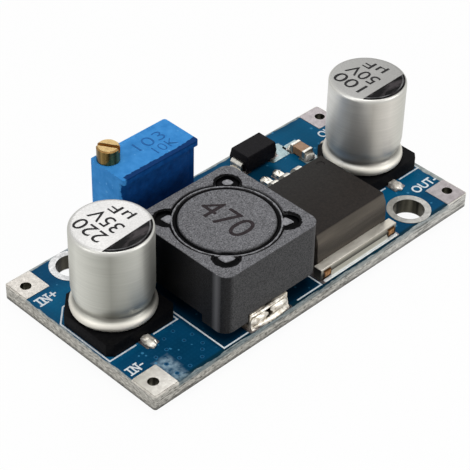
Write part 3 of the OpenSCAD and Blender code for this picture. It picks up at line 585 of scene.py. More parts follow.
def cut_laminate(tree, place, axes, masked, fibre):
    """The cut edges: pale glass, darker resin, short dark fibre ends and a pale top lip, partly the mask's
    edge and partly a painted highlight.

    On the front edge the glass is paler to the right, with stained resin above it; along the foot of every
    edge is a painted shadow.
    """
    x, y, z = axes
    laminate = blend(tree, fibre, "#787671", "#dad7ce")
    ends = flecks(tree, stretched(tree, place, (0.5, 0.5, 1.4)), 0.26, 0.5)
    laminate = blend(tree, times(tree, ends, 0.7), laminate, "#35332e")
    # A pale lip along the top edge: the mask's edge where there is mask, with a painted highlight
    lip_highlight = patch(tree, place, (-FAR, -FAR, BOARD_TOP - 0.12), (FAR, FAR, BOARD_TOP + 0.1), 0.05)
    lip_highlight_tone = blend(tree, masked, "#f2ece2", "#8d9ea3")
    laminate = blend(tree, times(tree, lip_highlight, 0.5), laminate, lip_highlight_tone)
    front_edge = between(tree, y, BOARD_LOW.y + 0.02, BOARD_LOW.y + 0.1, 1, 0)
    pale = times(tree, front_edge, between(tree, x, -12, 14, -0.3, 0.4))
    laminate = blend(tree, pale, laminate, "#e2e2de")
    stained = times(tree, front_edge, masked, between(tree, x, -14, 10, 0.7, 0.45),
                    between(tree, z, BOARD_TOP - 0.6, BOARD_TOP - 0.4))
    laminate = blend(tree, stained, laminate, "#65787f")
    streaks = grain(tree, stretched(tree, place, (0.25, 0.25, 2.2)), 0.5, 4.0)
    streaks = times(tree, between(tree, streaks, 0.55, 0.8), front_edge, 0.55)
    laminate = blend(tree, streaks, laminate, "#3a3a37")
    # Painted shadow along the foot of the cut edges
    foot = between(tree, z, BOARD_LOW.z + 0.12, BOARD_LOW.z + 0.45, 0.7, 0)
    return blend(tree, foot, laminate, "#454543")


def board_finish():
    """Blue solder mask over glass cloth, with the bare laminate along the cut edges."""
    material, tree, shader, place = new_material("board_mask_and_laminate", specular_ior_level=0.02)
    axes = axes_of(tree, place)
    masked = calc(tree, "SUBTRACT", 1, bare_corners(tree, place))
    mask = mask_field(tree, place, axes, masked)
    weave = glass_weave(tree, place)
    fibre = grain(tree, stretched(tree, place, (0.6, 0.6, 1.6)), 0.3, 5.0)
    laminate = cut_laminate(tree, place, axes, masked, fibre)
    coloured(tree, shader, blend(tree, mask, laminate, mask_blue(tree, place, axes[1], weave)))
    gloss = between(tree, grain(tree, place, 0.8, 3.0), 0, 1, 0.3, 0.42)
    rough = node(tree, "Mix", {0: mask, 2: 0.8, 3: gloss})
    tree.links.new(rough.outputs[0], shader.inputs["Roughness"])
    bumped(tree, shader, calc(tree, "MULTIPLY_ADD", weave, 0.2, fibre), 0.006)
    return material


# Where the black segment's straight edge lies, from the can's middle
SEGMENT_EDGE = -2.0


def can_finish(name, centre, turn, wall, top):
    """Satin aluminium with a printed black segment on the negative side of the can's top.

    The wall's tones are painted reflections that run around the can, from its -X +Y side over the front to
    its +X -Y side.
    """
    material, tree, shader, place = new_material(name, specular_ior_level=0.03)
    own = stretched(tree, place, (1, 1, 1), (0, 0, turn))
    shift = Matrix.Rotation(math.radians(turn), 3, "Z") @ Vector((centre.x, centre.y, 0))
    own = vector_calc(tree, "SUBTRACT", own, shift)
    x, y, z = axes_of(tree, own)
    reach = off_axis(tree, place, centre)
    ink = patch(tree, own, (-FAR, -FAR, CAN_TOP - 0.45), (FAR, SEGMENT_EDGE, FAR), 0.03)
    ink = times(tree, ink, between(tree, reach, 3.7, 3.76, 1, 0))
    drawn = grain(tree, stretched(tree, own, (1, 1, 0.02)), 3.5, 2.0)
    across = calc(tree, "MULTIPLY_ADD", drawn, 0.4, calc(tree, "SUBTRACT", x, y))
    # Painted reflections in bands across the wall
    metal = wall[0][1]
    for (start, _), (end, tone) in zip(wall, wall[1:]):
        metal = blend(tree, between(tree, across, start, end), metal, tone)
    lines = grain(tree, stretched(tree, own, (0.03, 0.03, 1)), 0.16, 2.0)
    metal = blend(tree, times(tree, lines, 0.12), metal, "#5f5e59")
    fine = grain(tree, place, 0.16, 3.0)
    lid = blend(tree, fine, *top)
    metal = blend(tree, between(tree, z, CAN_TOP - 0.12, CAN_TOP - 0.02), metal, lid)
    # Painted shade in the groove above the curled foot
    painted_groove_shade = patch(tree, own, (-FAR, -FAR, BASE_TOP + 1.0), (FAR, FAR, BASE_TOP + 1.6), 0.3)
    metal = blend(tree, times(tree, painted_groove_shade, 0.7), metal, "#57544d")
    curl = between(tree, z, BASE_TOP + 0.95, BASE_TOP + 1.15, 1, 0)
    metal = blend(tree, curl, metal, "#cfccc3")
    # Painted highlight along the rounded shoulder of the top
    painted_shoulder_highlight = patch(tree, own, (-FAR, -FAR, CAN_TOP - 0.35), (FAR, FAR, CAN_TOP - 0.04), 0.2)
    metal = blend(tree, painted_shoulder_highlight, metal, "#bbbab5")
    # Painted highlight: a grey arc in the black segment near its rim
    pale_mark = times(tree, between(tree, reach, 3.38, 3.44), between(tree, reach, 3.5, 3.56, 1, 0),
                 grain(tree, place, 1.2, 2.0))
    smudge = grain(tree, stretched(tree, own, (0.5, 1.2, 1)), 0.9, 4.0)
    black = blend(tree, between(tree, smudge, 0.45, 0.85, 0, 0.7), "#050506", "#4f4a4c")
    black = blend(tree, pale_mark, black, "#7c7c7d")
    coloured(tree, shader, blend(tree, ink, metal, black))
    tree.links.new(calc(tree, "SUBTRACT", 1.0, ink), shader.inputs["Metallic"])
    satin = calc(tree, "MULTIPLY_ADD", curl, 0.12, between(tree, drawn, 0, 1, 0.42, 0.5))
    rough = node(tree, "Mix", {0: ink, 2: satin, 3: 0.22})
    tree.links.new(rough.outputs[0], shader.inputs["Roughness"])
    bumped(tree, shader, fine, 0.002)
    return material


def tab_finish():
    """Tinned copper: bright on its faces, painted shade on its front, its ends and round the stubs, and
    bare copper where the corner stubs were sheared.
    """
    material, tree, shader, place = new_material("regulator_tab_tin", metallic=1.0)
    cloud = grain(tree, stretched(tree, place, (0.4, 1.6, 1.6)), 0.9, 4.0)
    tin = blend(tree, cloud, "#d8d3c8", "#efebe1")
    axes = axes_of(tree, place)
    # Painted shade: the tin darkens towards its right end
    right_end = between(tree, axes[0], TAB_HIGH.x - 4, TAB_HIGH.x - 1, 0, 0.4)
    tin = blend(tree, right_end, tin, "#a8a298")
    front = patch(tree, place, (-FAR, -FAR, -FAR), (FAR, TAB_FRONT + 0.03, FAR), 0.02)
    shaded = between(tree, axes[2], LAND_TOP + 0.55, TAB_HIGH.z - 0.15)
    tin = blend(tree, front, tin, blend(tree, shaded, "#45433d", "#a19d92"))
    # Painted shade on the left end, where the coil's shadow falls
    shaded_left_end = patch(tree, place, (-FAR, -FAR, -FAR), (TAB_LOW.x + 0.03, FAR, TAB_HIGH.z - 0.08), 0.04)
    tin = blend(tree, shaded_left_end, tin, "#2b2620")
    copper = blend(tree, grain(tree, place, 0.3, 3.0), "#7a4e24", "#c79a6c")
    for x in (TAB_LOW.x + STUB_INSET, TAB_HIGH.x - STUB_INSET - STUB_W):
        # Dark brown round each stub: sheared copper, with painted shade above and below the stub
        sheared_and_shaded = patch(tree, place, (x, -FAR, -FAR), (x + STUB_W, TAB_FRONT + 0.03, TAB_HIGH.z - 0.15), 0.04)
        tin = blend(tree, sheared_and_shaded, tin, "#3a220b")
        stub = patch(tree, place, (x + 0.1, -FAR, STUB_LOW),
                     (x + STUB_W - 0.15, TAB_FRONT - 0.02, STUB_HIGH), 0.08)
        tin = blend(tree, stub, tin, copper)
    coloured(tree, shader, tin)
    skin(tree, shader, place, 0.3, (0.42, 0.55), 0.006)
    return material


def fillet_finish():
    """Solder fillets: grainy at the leads, smooth and paler towards the board in front of the tab."""
    material, tree, shader, place = new_material("solder_fillets", metallic=0.6)
    rise = axes_of(tree, place)[2]
    solder = blend(tree, grain(tree, place, 0.4, 4.0), "#998f7f", "#ece8df")
    at_tab = patch(tree, place, (TAB_LOW.x, -FAR, -FAR), (TAB_HIGH.x, TAB_FRONT + 0.1, FAR), 0.05)
    streak = grain(tree, stretched(tree, place, (0.3, 1, 1)), 0.5, 3.0)
    foot = blend(tree, streak, "#c9cfce", "#eef3f3")
    strip = blend(tree, between(tree, rise, LAND_TOP + 0.03, LAND_TOP + 0.14), foot, "#98968b")
    coloured(tree, shader, blend(tree, at_tab, solder, strip))
    skin(tree, shader, place, 0.13, (0.35, 0.5), 0.004)
    return material


def ferrite_finish():
    """Pressed ferrite: a fine strong speckle, a ground top paler with a painted sheen, painted shade on the
    left and a painted highlight at one upright corner.
    """
    material, tree, shader, place = new_material("pressed_ferrite", specular_ior_level=0.1)
    axes = axes_of(tree, place)
    speckle = grain(tree, place, 0.12, 3.0)
    # From the left side, round the front left corner and along the front, in millimetres from the corner
    round_corner = calc(tree, "SUBTRACT", axes[0], axes[1])
    round_corner = calc(tree, "SUBTRACT", round_corner, COIL_LOW.x - COIL_LOW.y)
    front = blend(tree, speckle, "#1c1c1d", "#505051")
    # Painted shade on the left side, darkest towards the back
    dark = blend(tree, speckle, "#0c0c0d", "#2a2a2c")
    dark = blend(tree, between(tree, round_corner, -8, -3), "#020203", dark)
    # The painted shade runs round the front left corner as a dark band, a painted reflection
    side = blend(tree, between(tree, round_corner, 0.5, 1.0), dark, front)
    # Painted highlight in a stripe beside the front left corner
    painted_corner_highlight = times(tree, between(tree, round_corner, -1.8, -1.25),
                   between(tree, round_corner, -1.1, -0.55, 1, 0), 0.5)
    side = blend(tree, painted_corner_highlight, side, "#77777a")
    # The ground top, paler, with a painted sheen
    ground_and_sheen = blend(tree, speckle, "#39393b", "#858589")
    ground_and_sheen = blend(tree, flecks(tree, place, 0.13, 0.2), ground_and_sheen, "#a5a5a9")
    colour = blend(tree, between(tree, axes[2], COIL_TOP - 0.12, COIL_TOP - 0.02), side, ground_and_sheen)
    coloured(tree, shader, colour)
    roughened(tree, shader, speckle, 0.38, 0.55)
    bumped(tree, shader, speckle, 0.012)
    return material


def moulding_finish():
    """Brown-black moulding, with painted light on its front: paler on the sloped band than on the wall
    below.
    """
    material, tree, shader, place = new_material("regulator_moulding", specular_ior_level=0.1)
    axes = axes_of(tree, place)
    cloud = grain(tree, place, 0.25, 4.0)
    top = blend(tree, cloud, "#1e1b19", "#2a2522")
    back = blend(tree, cloud, "#211f1e", "#2a2826")
    colour = blend(tree, between(tree, axes[1], -6, -1), top, back)
    streaks = grain(tree, stretched(tree, place, (0.15, 1, 1.2)), 0.9, 3.0)
    lit_slope = blend(tree, streaks, "#4e4942", "#645d54")
    wall = blend(tree, streaks, "#332f2c", "#45403a")
    # Painted light: the front is paler than the top, the sloped band palest
    front = blend(tree, between(tree, axes[2], REG_TOP - 1.7, REG_TOP - 1.0), wall, lit_slope)
    colour = blend(tree, between(tree, axes[1], REG_FRONT + 0.42, REG_FRONT + 0.5, 1, 0), colour, front)
    coloured(tree, shader, colour)
    skin(tree, shader, place, 0.1, (0.5, 0.65), 0.01)
    return material


def resin_colour(tree, place):
    """Dark sealing resin, a little paler towards the top."""
    height = axes_of(tree, place)[2]
    cloud = grain(tree, place, 0.7, 4.0)
    low = blend(tree, cloud, "#062a60", "#0a3878")
    high = blend(tree, cloud, "#0e3d78", "#175092")
    return blend(tree, between(tree, height, TRIM_HIGH.z - 5.5, TRIM_HIGH.z - 0.6), low, high)


def resin_finish():
    material, tree, shader, place = new_material("sealing_resin", specular_ior_level=0.08)
    coloured(tree, shader, resin_colour(tree, place))
    skin(tree, shader, place, 0.5, (0.35, 0.55), 0.03, 3.0)
    return material


def housing_finish():
    """Blue moulded plastic, with sealing resin that has crept over the sealed side and its rim, painted
    darker where it faces up.
    """
    material, tree, shader, place = new_material("trimmer_blue_plastic", specular_ior_level=0.02)
    axes = axes_of(tree, place)
    cloud = grain(tree, place, 0.9, 4.0)
    blue = blend(tree, cloud, "#3583c8", "#4695da")
    blue = blend(tree, flecks(tree, place, 0.35, 0.08), blue, "#5aa2de")
    ragged = between(tree, grain(tree, place, 0.5, 4.0), 0, 1, -0.09, 0.09)
    line = calc(tree, "ADD", axes[1], ragged)
    right_end = between(tree, axes[0], TRIM_HIGH.x - 1.2, TRIM_HIGH.x - 0.8, 0, 0.15)
    line = calc(tree, "SUBTRACT", line, right_end)
    crept = between(tree, line, RESIN_FACE + 0.06, RESIN_FACE)
    corner = between(tree, calc(tree, "ADD", axes[0], ragged), TRIM_LOW.x + 0.25, TRIM_LOW.x + 0.4)
    front = between(tree, axes[2], TRIM_HIGH.z - 0.75, TRIM_HIGH.z - 0.6, 1, 0)
    crept = times(tree, crept, calc(tree, "MAXIMUM", corner, front))
    # Painted shade: the crept resin is darker where it faces up
    resin = blend(tree, between(tree, axes[2], TRIM_HIGH.z - 0.2, TRIM_HIGH.z - 0.05),
                  resin_colour(tree, place), "#0b356a")
    coloured(tree, shader, blend(tree, crept, blue, resin))
    skin(tree, shader, place, 0.3, (0.36, 0.5), 0.008)
    return material


def glue_skin_finish():
    """Black glue with painted grey reflections on its crests."""
    material, tree, shader, place = new_material("glue_skin", specular_ior_level=0.3)
    height = axes_of(tree, place)[2]
    uneven = between(tree, grain(tree, place, 0.5, 3.0), 0, 1, -0.03, 0.03)
    crest = between(tree, calc(tree, "ADD", height, uneven), GLUE_TOP + 0.05, GLUE_TOP + 0.1)
    # Painted reflections: grey on the crests of the glue
    reflection_grey = blend(tree, grain(tree, place, 0.2, 3.0), "#66666a", "#99999d")
    coloured(tree, shader, blend(tree, crest, "#030304", reflection_grey))
    roughened(tree, shader, crest, 0.2, 0.4)
    bumped(tree, shader, grain(tree, place, 0.3, 2.0), 0.01)
    return material


def brass_finish():
    """Turned brass with upright streaks on its sides, partly tarnish and partly painted reflections, and
    brown in the slot.
    """
    material, tree, shader, place = new_material("turned_brass")
    axes = axes_of(tree, place)
    # Upright streaks: tarnish with painted reflections
    streaks = grain(tree, stretched(tree, place, (1, 1, 0.04)), 0.55, 2.0)
    side = blend(tree, streaks, "#271a09", "#9c8350")
    faces = blend(tree, grain(tree, place, 0.5, 4.0), "#78643f", "#978159")
    top = between(tree, axes[2], SCREW_TOP - 0.16, SCREW_TOP - 0.06)
    reach = off_axis(tree, place, SCREW)
    slot = times(tree, between(tree, reach, SCREW_R - 0.06, SCREW_R - 0.03, 1, 0),
                 between(tree, axes[2], SCREW_TOP - 0.1, SCREW_TOP - 0.02, 1, 0))
    brass = blend(tree, slot, blend(tree, top, side, faces), "#a06c2a")
    coloured(tree, shader, brass)
    tree.links.new(between(tree, slot, 0, 1, 1.0, 0.2), shader.inputs["Metallic"])
    skin(tree, shader, place, 0.15, (0.24, 0.34), 0.003)
    return material


def pad_finish(name, dark, light, wall=("#1a1a13", "#807d70"), streak=0.35):
    """Tinned copper, bright on the faces of the board, with painted shade and painted highlight streaks
    inside the holes.
    """
    material, tree, shader, place = new_material(name, metallic=1.0)
    cloud = grain(tree, place, 0.6, 4.0)
    tin = blend(tree, cloud, dark, light)
    # Painted shade on the hole walls, crossed by painted highlight streaks
    streaks = grain(tree, stretched(tree, place, (1, 1, 0.1)), streak, 1.0)
    inside = blend(tree, streaks, *wall)
    barrel = patch(tree, place, (-FAR, -FAR, BOARD_LOW.z), (FAR, FAR, BOARD_TOP + 0.02), 0.02)
    coloured(tree, shader, blend(tree, barrel, tin, inside))
    skin(tree, shader, place, 0.2, (0.34, 0.48), 0.008)
    return material


# Painted reflections: tones around each can's wall, at distances across it in millimetres
IN_WALL_REFLECTIONS = ((-5.6, "#b0b0a8"), (-4.2, "#d2d2ca"), (0.0, "#989890"), (4.0, "#d6d6ce"), (5.5, "#c8c8c0"))
OUT_WALL_REFLECTIONS = ((-5.6, "#d6d6d2"), (-2.6, "#f0f0ec"), (0.6, "#bcb8b0"), (3.0, "#d8d4cc"), (5.5, "#c4c4bc"))

FINISH = {
    "board": board_finish(),
    "in_can": can_finish("input_can_aluminium", IN_CAN, -3.5, IN_WALL_REFLECTIONS, ("#9f9e9f", "#bab9ba")),
    "out_can": can_finish("output_can_aluminium", OUT_CAN, -1.5, OUT_WALL_REFLECTIONS, ("#4e4e50", "#636365")),
    "tab": tab_finish(),
    "tinned_copper": pad_finish("tinned_pad", "#878182", "#9a9495"),
    "pale_land": pad_finish("pale_land", "#75868a", "#93a2a3"),
    # The input pads' tones are painted reflections
    "reflection_bright_pad": pad_finish("tinned_reflection_bright_pad", "#c0bcb6", "#d6d3cd"),
    "reflection_grey_pad": pad_finish("tinned_reflection_grey_pad", "#9b9791", "#aba7a1"),
    "rear_ring": pad_finish("tinned_rear_ring", "#8c8c8c", "#b4b4b4", ("#0d0d09", "#4a4840"), 0.9),
    "front_ring": pad_finish("tinned_front_ring", "#8e8d89", "#abaaa6", ("#12120d", "#605d52"), 0.7),
    "solder": finish_of("solder", "#998f7f", "#ece8df", 0.4, (0.3, 0.44), 0.006, metallic=1.0),
    "fillet_solder": fillet_finish(),
    "tab_solder": finish_of("tab_solder", "#d0d6d6", "#f0f4f4", 0.6, (0.35, 0.5), 0.004, metallic=0.2),
    "terminal": finish_of("terminal_tin", "#8a7a64", "#efe8da", 0.7, (0.3, 0.45), 0.01, metallic=0.7),
    "bright_solder": finish_of("bright_solder", "#aca598", "#f0ece3", 0.3, (0.3, 0.44), 0.01, metallic=0.4),
    "tinned_lead": finish_of("tinned_lead", "#b0ada5", "#cfccc4", 0.4, (0.32, 0.42), 0.004, metallic=1.0),
    "black_plastic": finish_of("base_plastic", "#08080a", "#101011", 0.3, (0.4, 0.55), 0.006,
                               specular_ior_level=0.03),
    "ferrite": ferrite_finish(),
    "copper_wire": finish_of("enamelled_wire", "#8f4a1d", "#b8672e", 0.3, (0.25, 0.4), 0.01, metallic=1.0),
    "black_glue": finish_of("potting_glue", "#010102", "#040405", 0.8, (0.4, 0.5), 0.004,
                            specular_ior_level=0.02),
    "glue_skin": glue_skin_finish(),
    "regulator_moulding": moulding_finish(),
    "diode_moulding": finish_of("diode_moulding", "#0d0c0e", "#171518", 0.25, (0.45, 0.6), 0.01,
                                specular_ior_level=0.06),
    "tan_ceramic": finish_of("tan_ceramic", "#8f6a48", "#a88260", 0.3, (0.35, 0.5), 0.006),
    "black_ceramic": finish_of("black_ceramic", "#17171a", "#222226", 0.3, (0.3, 0.45), 0.005),
    "white_ceramic": finish_of("white_ceramic", "#d8d3c6", "#e9e5da", 0.3, (0.5, 0.65), 0.005),
    "blue_plastic": housing_finish(),
    "dark_blue_resin": resin_finish(),
    "brass": brass_finish(),
    "black_rubber": finish_of("seal_rubber", "#101010", "#1b1b1b", 0.3, (0.6, 0.8), 0.008),
    "cream_plastic": finish_of("wheel_plastic", "#ddd7c6", "#ece7d8", 0.4, (0.4, 0.55), 0.006),
    "white_ink": finish_of("white_legend_ink", "#c9d3da", "#e8edf0", 0.4, (0.5, 0.65), 0.004),
    "can_ink": finish_of("can_print_ink", "#060607", "#121213", 0.3, (0.35, 0.5), 0.002,
                         specular_ior_level=0.1),
    "coil_ink": finish_of("coil_print_ink", "#1d1719", "#352e31", 0.2, (0.6, 0.75), 0.006,
                          specular_ior_level=0.1),
    "trimmer_ink": finish_of("trimmer_mark", "#1e5c9b", "#276bae", 0.3, (0.5, 0.65), 0.004,
                             specular_ior_level=0.1),
    "via_mask": finish_of("via_mask", "#0f4d73", "#1c5f86", 0.2, (0.4, 0.55), 0.004,
                          specular_ior_level=0.15),
    "via_pit": finish_of("via_pit", "#052c48", "#083a5a", 0.2, (0.4, 0.55), 0.004, specular_ior_level=0.1),
}


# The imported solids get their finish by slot, apart from the special ones

SLOT_OF = {part["node"]: part["material_slot"] for part in frame["record"]["subparts"]}
SPECIAL = {"input_capacitor_can": "in_can", "output_capacitor_can": "out_can", "regulator_tab": "tab",
           "coil_terminal_front": "terminal", "solder_fillets": "fillet_solder",
           "wire_pad_in_minus": "reflection_bright_pad", "wire_pad_in_plus": "reflection_grey_pad",
           "input_capacitor_lead_minus": "bright_solder", "output_capacitor_lead_minus": "bright_solder",
           "mounting_ring_front": "front_ring", "mounting_ring_rear": "rear_ring"}


def finish_for(node_name):
    return FINISH[SPECIAL.get(node_name, SLOT_OF[node_name])]


for node_name, solid in NODES.items():
    solid.data.materials.clear()
    solid.data.materials.append(finish_for(node_name))


# Rounded pieces that stand for sharp-edged solids

# Width of the rounding on each
EASED = {
    "regulator_body": 0.06, "diode_body": 0.08, "input_capacitor_base": 0.1, "output_capacitor_base": 0.1,
    "regulator_tab": 0.06, "trimmer_housing": 0.12, "coil_shield": 0.1, "chip_capacitor": 0.06,
    "chip_resistor": 0.05, "coil_terminal_front": 0.08, "coil_terminal_rear": 0.08,
    "chip_capacitor_ends": 0.08, "chip_resistor_ends": 0.06,
}
for node_name, width in EASED.items():
    piece = eased(node_name, node_name + "_look", width, angle=20)
    dress(piece, finish_for(node_name), [node_name], 20)

piece = eased("coil_glue", "coil_glue_look", 0.16, 3)
dress(piece, FINISH["black_glue"], ["coil_glue"])


# Cans, turned with a soft groove and a curled foot

# Radius and height of the section: the foot above the base, the shoulder from the top
CAN_FOOT = [(0, 0), (3.4, 0), (3.72, 0.04), (3.95, 0.15), (4.08, 0.32), (4.125, 0.55), (4.09, 0.76),
            (3.99, 0.93), (3.85, 1.06), (3.72, 1.17), (3.64, 1.3), (3.63, 1.45), (3.67, 1.65),
            (3.74, 1.88), (3.81, 2.12), (3.87, 2.4), (3.91, 2.7), (3.925, 3.1)]
CAN_SHOULDER = [(3.925, -0.55), (3.92, -0.36), (3.895, -0.22), (3.83, -0.12), (3.72, -0.045),
                (3.56, -0.005), (3.45, 0), (0, 0)]
for label, can in (("input", IN_CAN), ("output", OUT_CAN)):
    profile = [(r, BASE_TOP + h) for r, h in CAN_FOOT] + [(r, CAN_TOP + h) for r, h in CAN_SHOULDER]
    piece = turned(f"{label}_capacitor_can_look", profile, (can.x, can.y), 96)
    dress(piece, finish_for(f"{label}_capacitor_can"), [f"{label}_capacitor_can"], 60)


# Glue in the ring around the drum: a bead along it, and a tongue in each corner pocket

BEAD_R = 5.12
# Steps out from the bead's middle line and up from the glue
BEAD_SECTION = ((-0.15, -0.02), (-0.09, 0.06), (0, 0.11), (0.09, 0.06), (0.15, -0.02))
bead = turned("glue_bead", [(BEAD_R + r, GLUE_TOP + h) for r, h in BEAD_SECTION], (COIL.x, COIL.y), 96)
dress(bead, FINISH["glue_skin"], angle=60)

POCKET = 3.9
POCKET_R = 1.2
# For each corner: how far out the tongue lies, its length, its width and its taper
TONGUES = {
    (-1, -1): (3.95, 1.05, 1.4, -1.2),
    (1, -1): (3.95, 1.15, 1.1, -1.3),
    (1, 1): (4.1, 0.9, 1.15, -0.3),
    (-1, 1): (3.95, 1.15, 1.1, -1.3),
}


def smear(name, at, inner, outer, seed):
    """A thin uneven film of glue around a pocket, left off where the ring of glue passes."""
    film = turned(name, [(inner, COIL_TOP), (outer, COIL_TOP)], at, 48)
    open_up(film)
    bpy.ops.transform.vertex_random(offset=0.06 * MM, uniform=1.0, normal=0.0, seed=seed)
    bpy.ops.transform.resize(value=(1, 1, 0), center_override=(0, 0, COIL_TOP * MM))
    pick("faces", lambda spot: (spot - COIL).xy.length < BEAD_R + 0.2)
    bpy.ops.mesh.delete(type="FACE")
    put_down()
    add_modifier(film, "SOLIDIFY", thickness=0.03 * MM, offset=0)
    return film


for index, ((sx, sy), (out, length, width, taper)) in enumerate(TONGUES.items()):
    tip = (COIL.x + sx * out, COIL.y + sy * out, GLUE_TOP)
    outward = math.degrees(math.atan2(sy, sx))
    tongue = lump(f"pocket_glue_{index + 1}", tip, (length, width, 0.4), 40 + index, 0.05, outward,
                  GLUE_TOP - 0.1, taper)
    dress(tongue, FINISH["glue_skin"], angle=60)
    at = (COIL.x + sx * POCKET, COIL.y + sy * POCKET)
    film = smear(f"glue_smear_{index + 1}", at, POCKET_R - 0.05, POCKET_R + 0.2, 70 + index)
    dress(film, FINISH["black_glue"])


# Solder and bare lands

REG_X = middle("regulator_body").x
LEAD_PITCH, FOOT_END = 1.7, corners("regulator_lead_1")[1].y
# The middle and the size of each lump
LUMPS = {
    "input_front": ((-17.12, -4.95, 1.7), (0.98, 1.75, 0.8)),
    "input_front_top": ((-17.05, -4.45, 1.95), (0.85, 0.8, 0.5)),
    "input_rear": ((-17.0, 4.9, 1.72), (1.2, 1.3, 0.7)),
    "output_front": ((16.95, -4.9, 1.7), (1.3, 1.65, 0.85)),
    "output_rear": ((17.0, 4.9, 1.72), (1.2, 1.3, 0.7)),
    "terminal_front_top": ((-6.72, -9.98, 3.2), (4.8, 0.45, 0.36)),
    "terminal_front_left": ((-8.05, -9.99, 2.5), (2.3, 0.7, 1.05)),
    "terminal_front_right": ((-5.4, -9.99, 2.62), (2.2, 0.65, 0.95)),
    "terminal_front_foot": ((-6.72, -10.06, 1.72), (5.0, 0.8, 0.8)),
    "terminal_rear_left": ((-6.9, 2.8, 2.3), (2.0, 0.75, 1.9)),
    "terminal_rear_right": ((-4.1, 2.8, 2.3), (2.0, 0.75, 1.9)),
    "chip_front": ((14.0, 4.5, 1.8), (1.3, 0.75, 1.0)),
    "chip_rear": ((13.9, 6.95, 1.75), (1.2, 0.7, 0.8)),
    "diode_left": ((6.6, 8.0, 1.8), (0.7, 1.6, 1.2)),
    "diode_right": ((11.8, 8.0, 1.75), (0.7, 1.6, 0.8)),
}
for lead in range(5):
    x = REG_X + (lead - 2) * LEAD_PITCH
    LUMPS[f"lead_{lead + 1}"] = ((x, FOOT_END - 0.15, 1.9), (1.0, 1.1, 0.85))
BRIGHT = ("input_front", "input_front_top", "output_front", "chip_front", "lead_2", "lead_3")
for seed, (label, (at, size)) in enumerate(LUMPS.items()):
    piece = lump("solder_" + label, at, size, seed + 3, 0.09)
    dress(piece, FINISH["bright_solder" if label in BRIGHT else "solder"], angle=60)

fillet = plate("solder_tab_front", (TAB_LOW.x + 0.2, TAB_LOW.y - 0.3), (TAB_HIGH.x - 0.1, TAB_LOW.y + 0.1),
               LAND_TOP + 0.08, 0.1, 0.15)
add_modifier(fillet, "BEVEL", width=0.06 * MM, segments=3, limit_method="ANGLE")
dress(fillet, FINISH["tab_solder"], angle=60)

# Two corners of each bare land
LANDS = {
    "diode_land": ((10.6, 6.45), (13.5, 8.6)),
    "chip_rear_land": ((13.2, 6.2), (15.3, 7.8)),
    "chip_front_land": ((13.1, 4.0), (14.9, 5.3)),
}
for label, (low, high) in LANDS.items():
    piece = plate(label, low, high, LAND_TOP - 0.005, 0.05, 0.2)
    dress(piece, FINISH["pale_land"])


# Small vias under the mask in the open corner of the board

VIA_SPOTS = ((-16.5, -6.6), (-16.4, -8.2), (-17.9, -6.7), (-13.4, -6.7), (-14.1, -8.8), (-14.5, -6.8),
             (-16.4, -9.6), (-17.8, -8.0), (-17.9, -9.5), (-15.7, -5.4), (-14.4, -5.2), (-13.5, -8.2),
             (-14.8, -9.5))
# Radius of each section, and its height above the board
VIA_RING = ((0.12, 0), (0.14, 0.012), (0.19, 0.01), (0.22, 0))
VIA_PIT = ((0, 0.003), (0.07, 0.004), (0.13, 0.006))
for kind, section in (("mask", VIA_RING), ("pit", VIA_PIT)):
    first = turned(f"via_{kind}", [(r, BOARD_TOP + h) for r, h in section], (0, 0), 20)
    rows = [copy_to(first, f"via_{kind}_{i + 1}", (x, y, 0)) for i, (x, y) in enumerate(VIA_SPOTS)]
    bpy.data.objects.remove(first)
    dress(join(f"vias_{kind}", rows), FINISH[f"via_{kind}"])


# Printing on the board

INK_T, LINE_W = 0.02, 0.16


def printed_outline(name, low, high, cut, gap):
    """A printed line around a part: a sheet cut to a frame, its rear corners cut off, open at the leads."""
    outline = sheet(name, low, high, BOARD_TOP)
    if cut:
        pick("verts", lambda spot: spot.y > (low[1] + high[1]) / 2)
        bpy.ops.mesh.bevel(offset=cut * MM, affect="VERTICES")
    bpy.ops.mesh.select_mode(type="FACE")
    bpy.ops.mesh.select_all(action="SELECT")
    bpy.ops.mesh.inset(thickness=LINE_W * MM, depth=0)
    bpy.ops.mesh.delete(type="FACE")
    for x in gap:
        bpy.ops.mesh.select_all(action="SELECT")
        bpy.ops.mesh.bisect(plane_co=(x * MM, 0, 0), plane_no=(1, 0, 0))
    pick("faces", lambda spot: gap[0] < spot.x < gap[1])
    bpy.ops.mesh.delete(type="FACE")
    put_down()
    add_modifier(outline, "SOLIDIFY", thickness=INK_T * MM, offset=1)
    return dress(outline, FINISH["white_ink"])


CORNER_CUT = 1.75
# For each outline: two corners, the cut at its rear corners and the stretch left open at the leads
OUTLINES = {
    "legend_input_capacitor": ((-21.36, -4.35), (-12.9, 4.35), CORNER_CUT, (-18.1, -16.0)),
    "legend_output_capacitor": ((12.9, -4.35), (21.15, 4.35), CORNER_CUT, (16.0, 18.1)),
    "legend_coil": ((-12.65, -10.15), (0.4, 2.85), 0, (-9.3, -3.0)),
}
for label, outline in OUTLINES.items():
    printed_outline(label, *outline)
line = plate("legend_regulator", (10.1, 3.75), (12.9, 3.95), BOARD_TOP + INK_T, INK_T, 0.08)
dress(line, FINISH["white_ink"])

# Each letter's step to the next one and its strokes, as shares of its height
SLAB_LETTERS = {
    "I": (0.56, (((0, 0), (0.44, 0)), ((0.22, 0), (0.22, 1)), ((0, 1), (0.44, 1)))),
    "N": (0.98, (((0.12, 0), (0.12, 1)), ((0.12, 1), (0.68, 0)), ((0.68, 0), (0.68, 1)),
                 ((-0.04, 0), (0.3, 0)), ((-0.04, 1), (0.12, 1)), ((0.52, 1), (0.84, 1)))),
    "+": (0.7, (((0, 0.55), (0.6, 0.55)), ((0.3, 0.25), (0.3, 0.85)))),
    "-": (0.5, (((0, 0.5), (0.3, 0.5)),)),
}
# Strokes that cross lie this much above each other
STROKE_STEP = 0.002


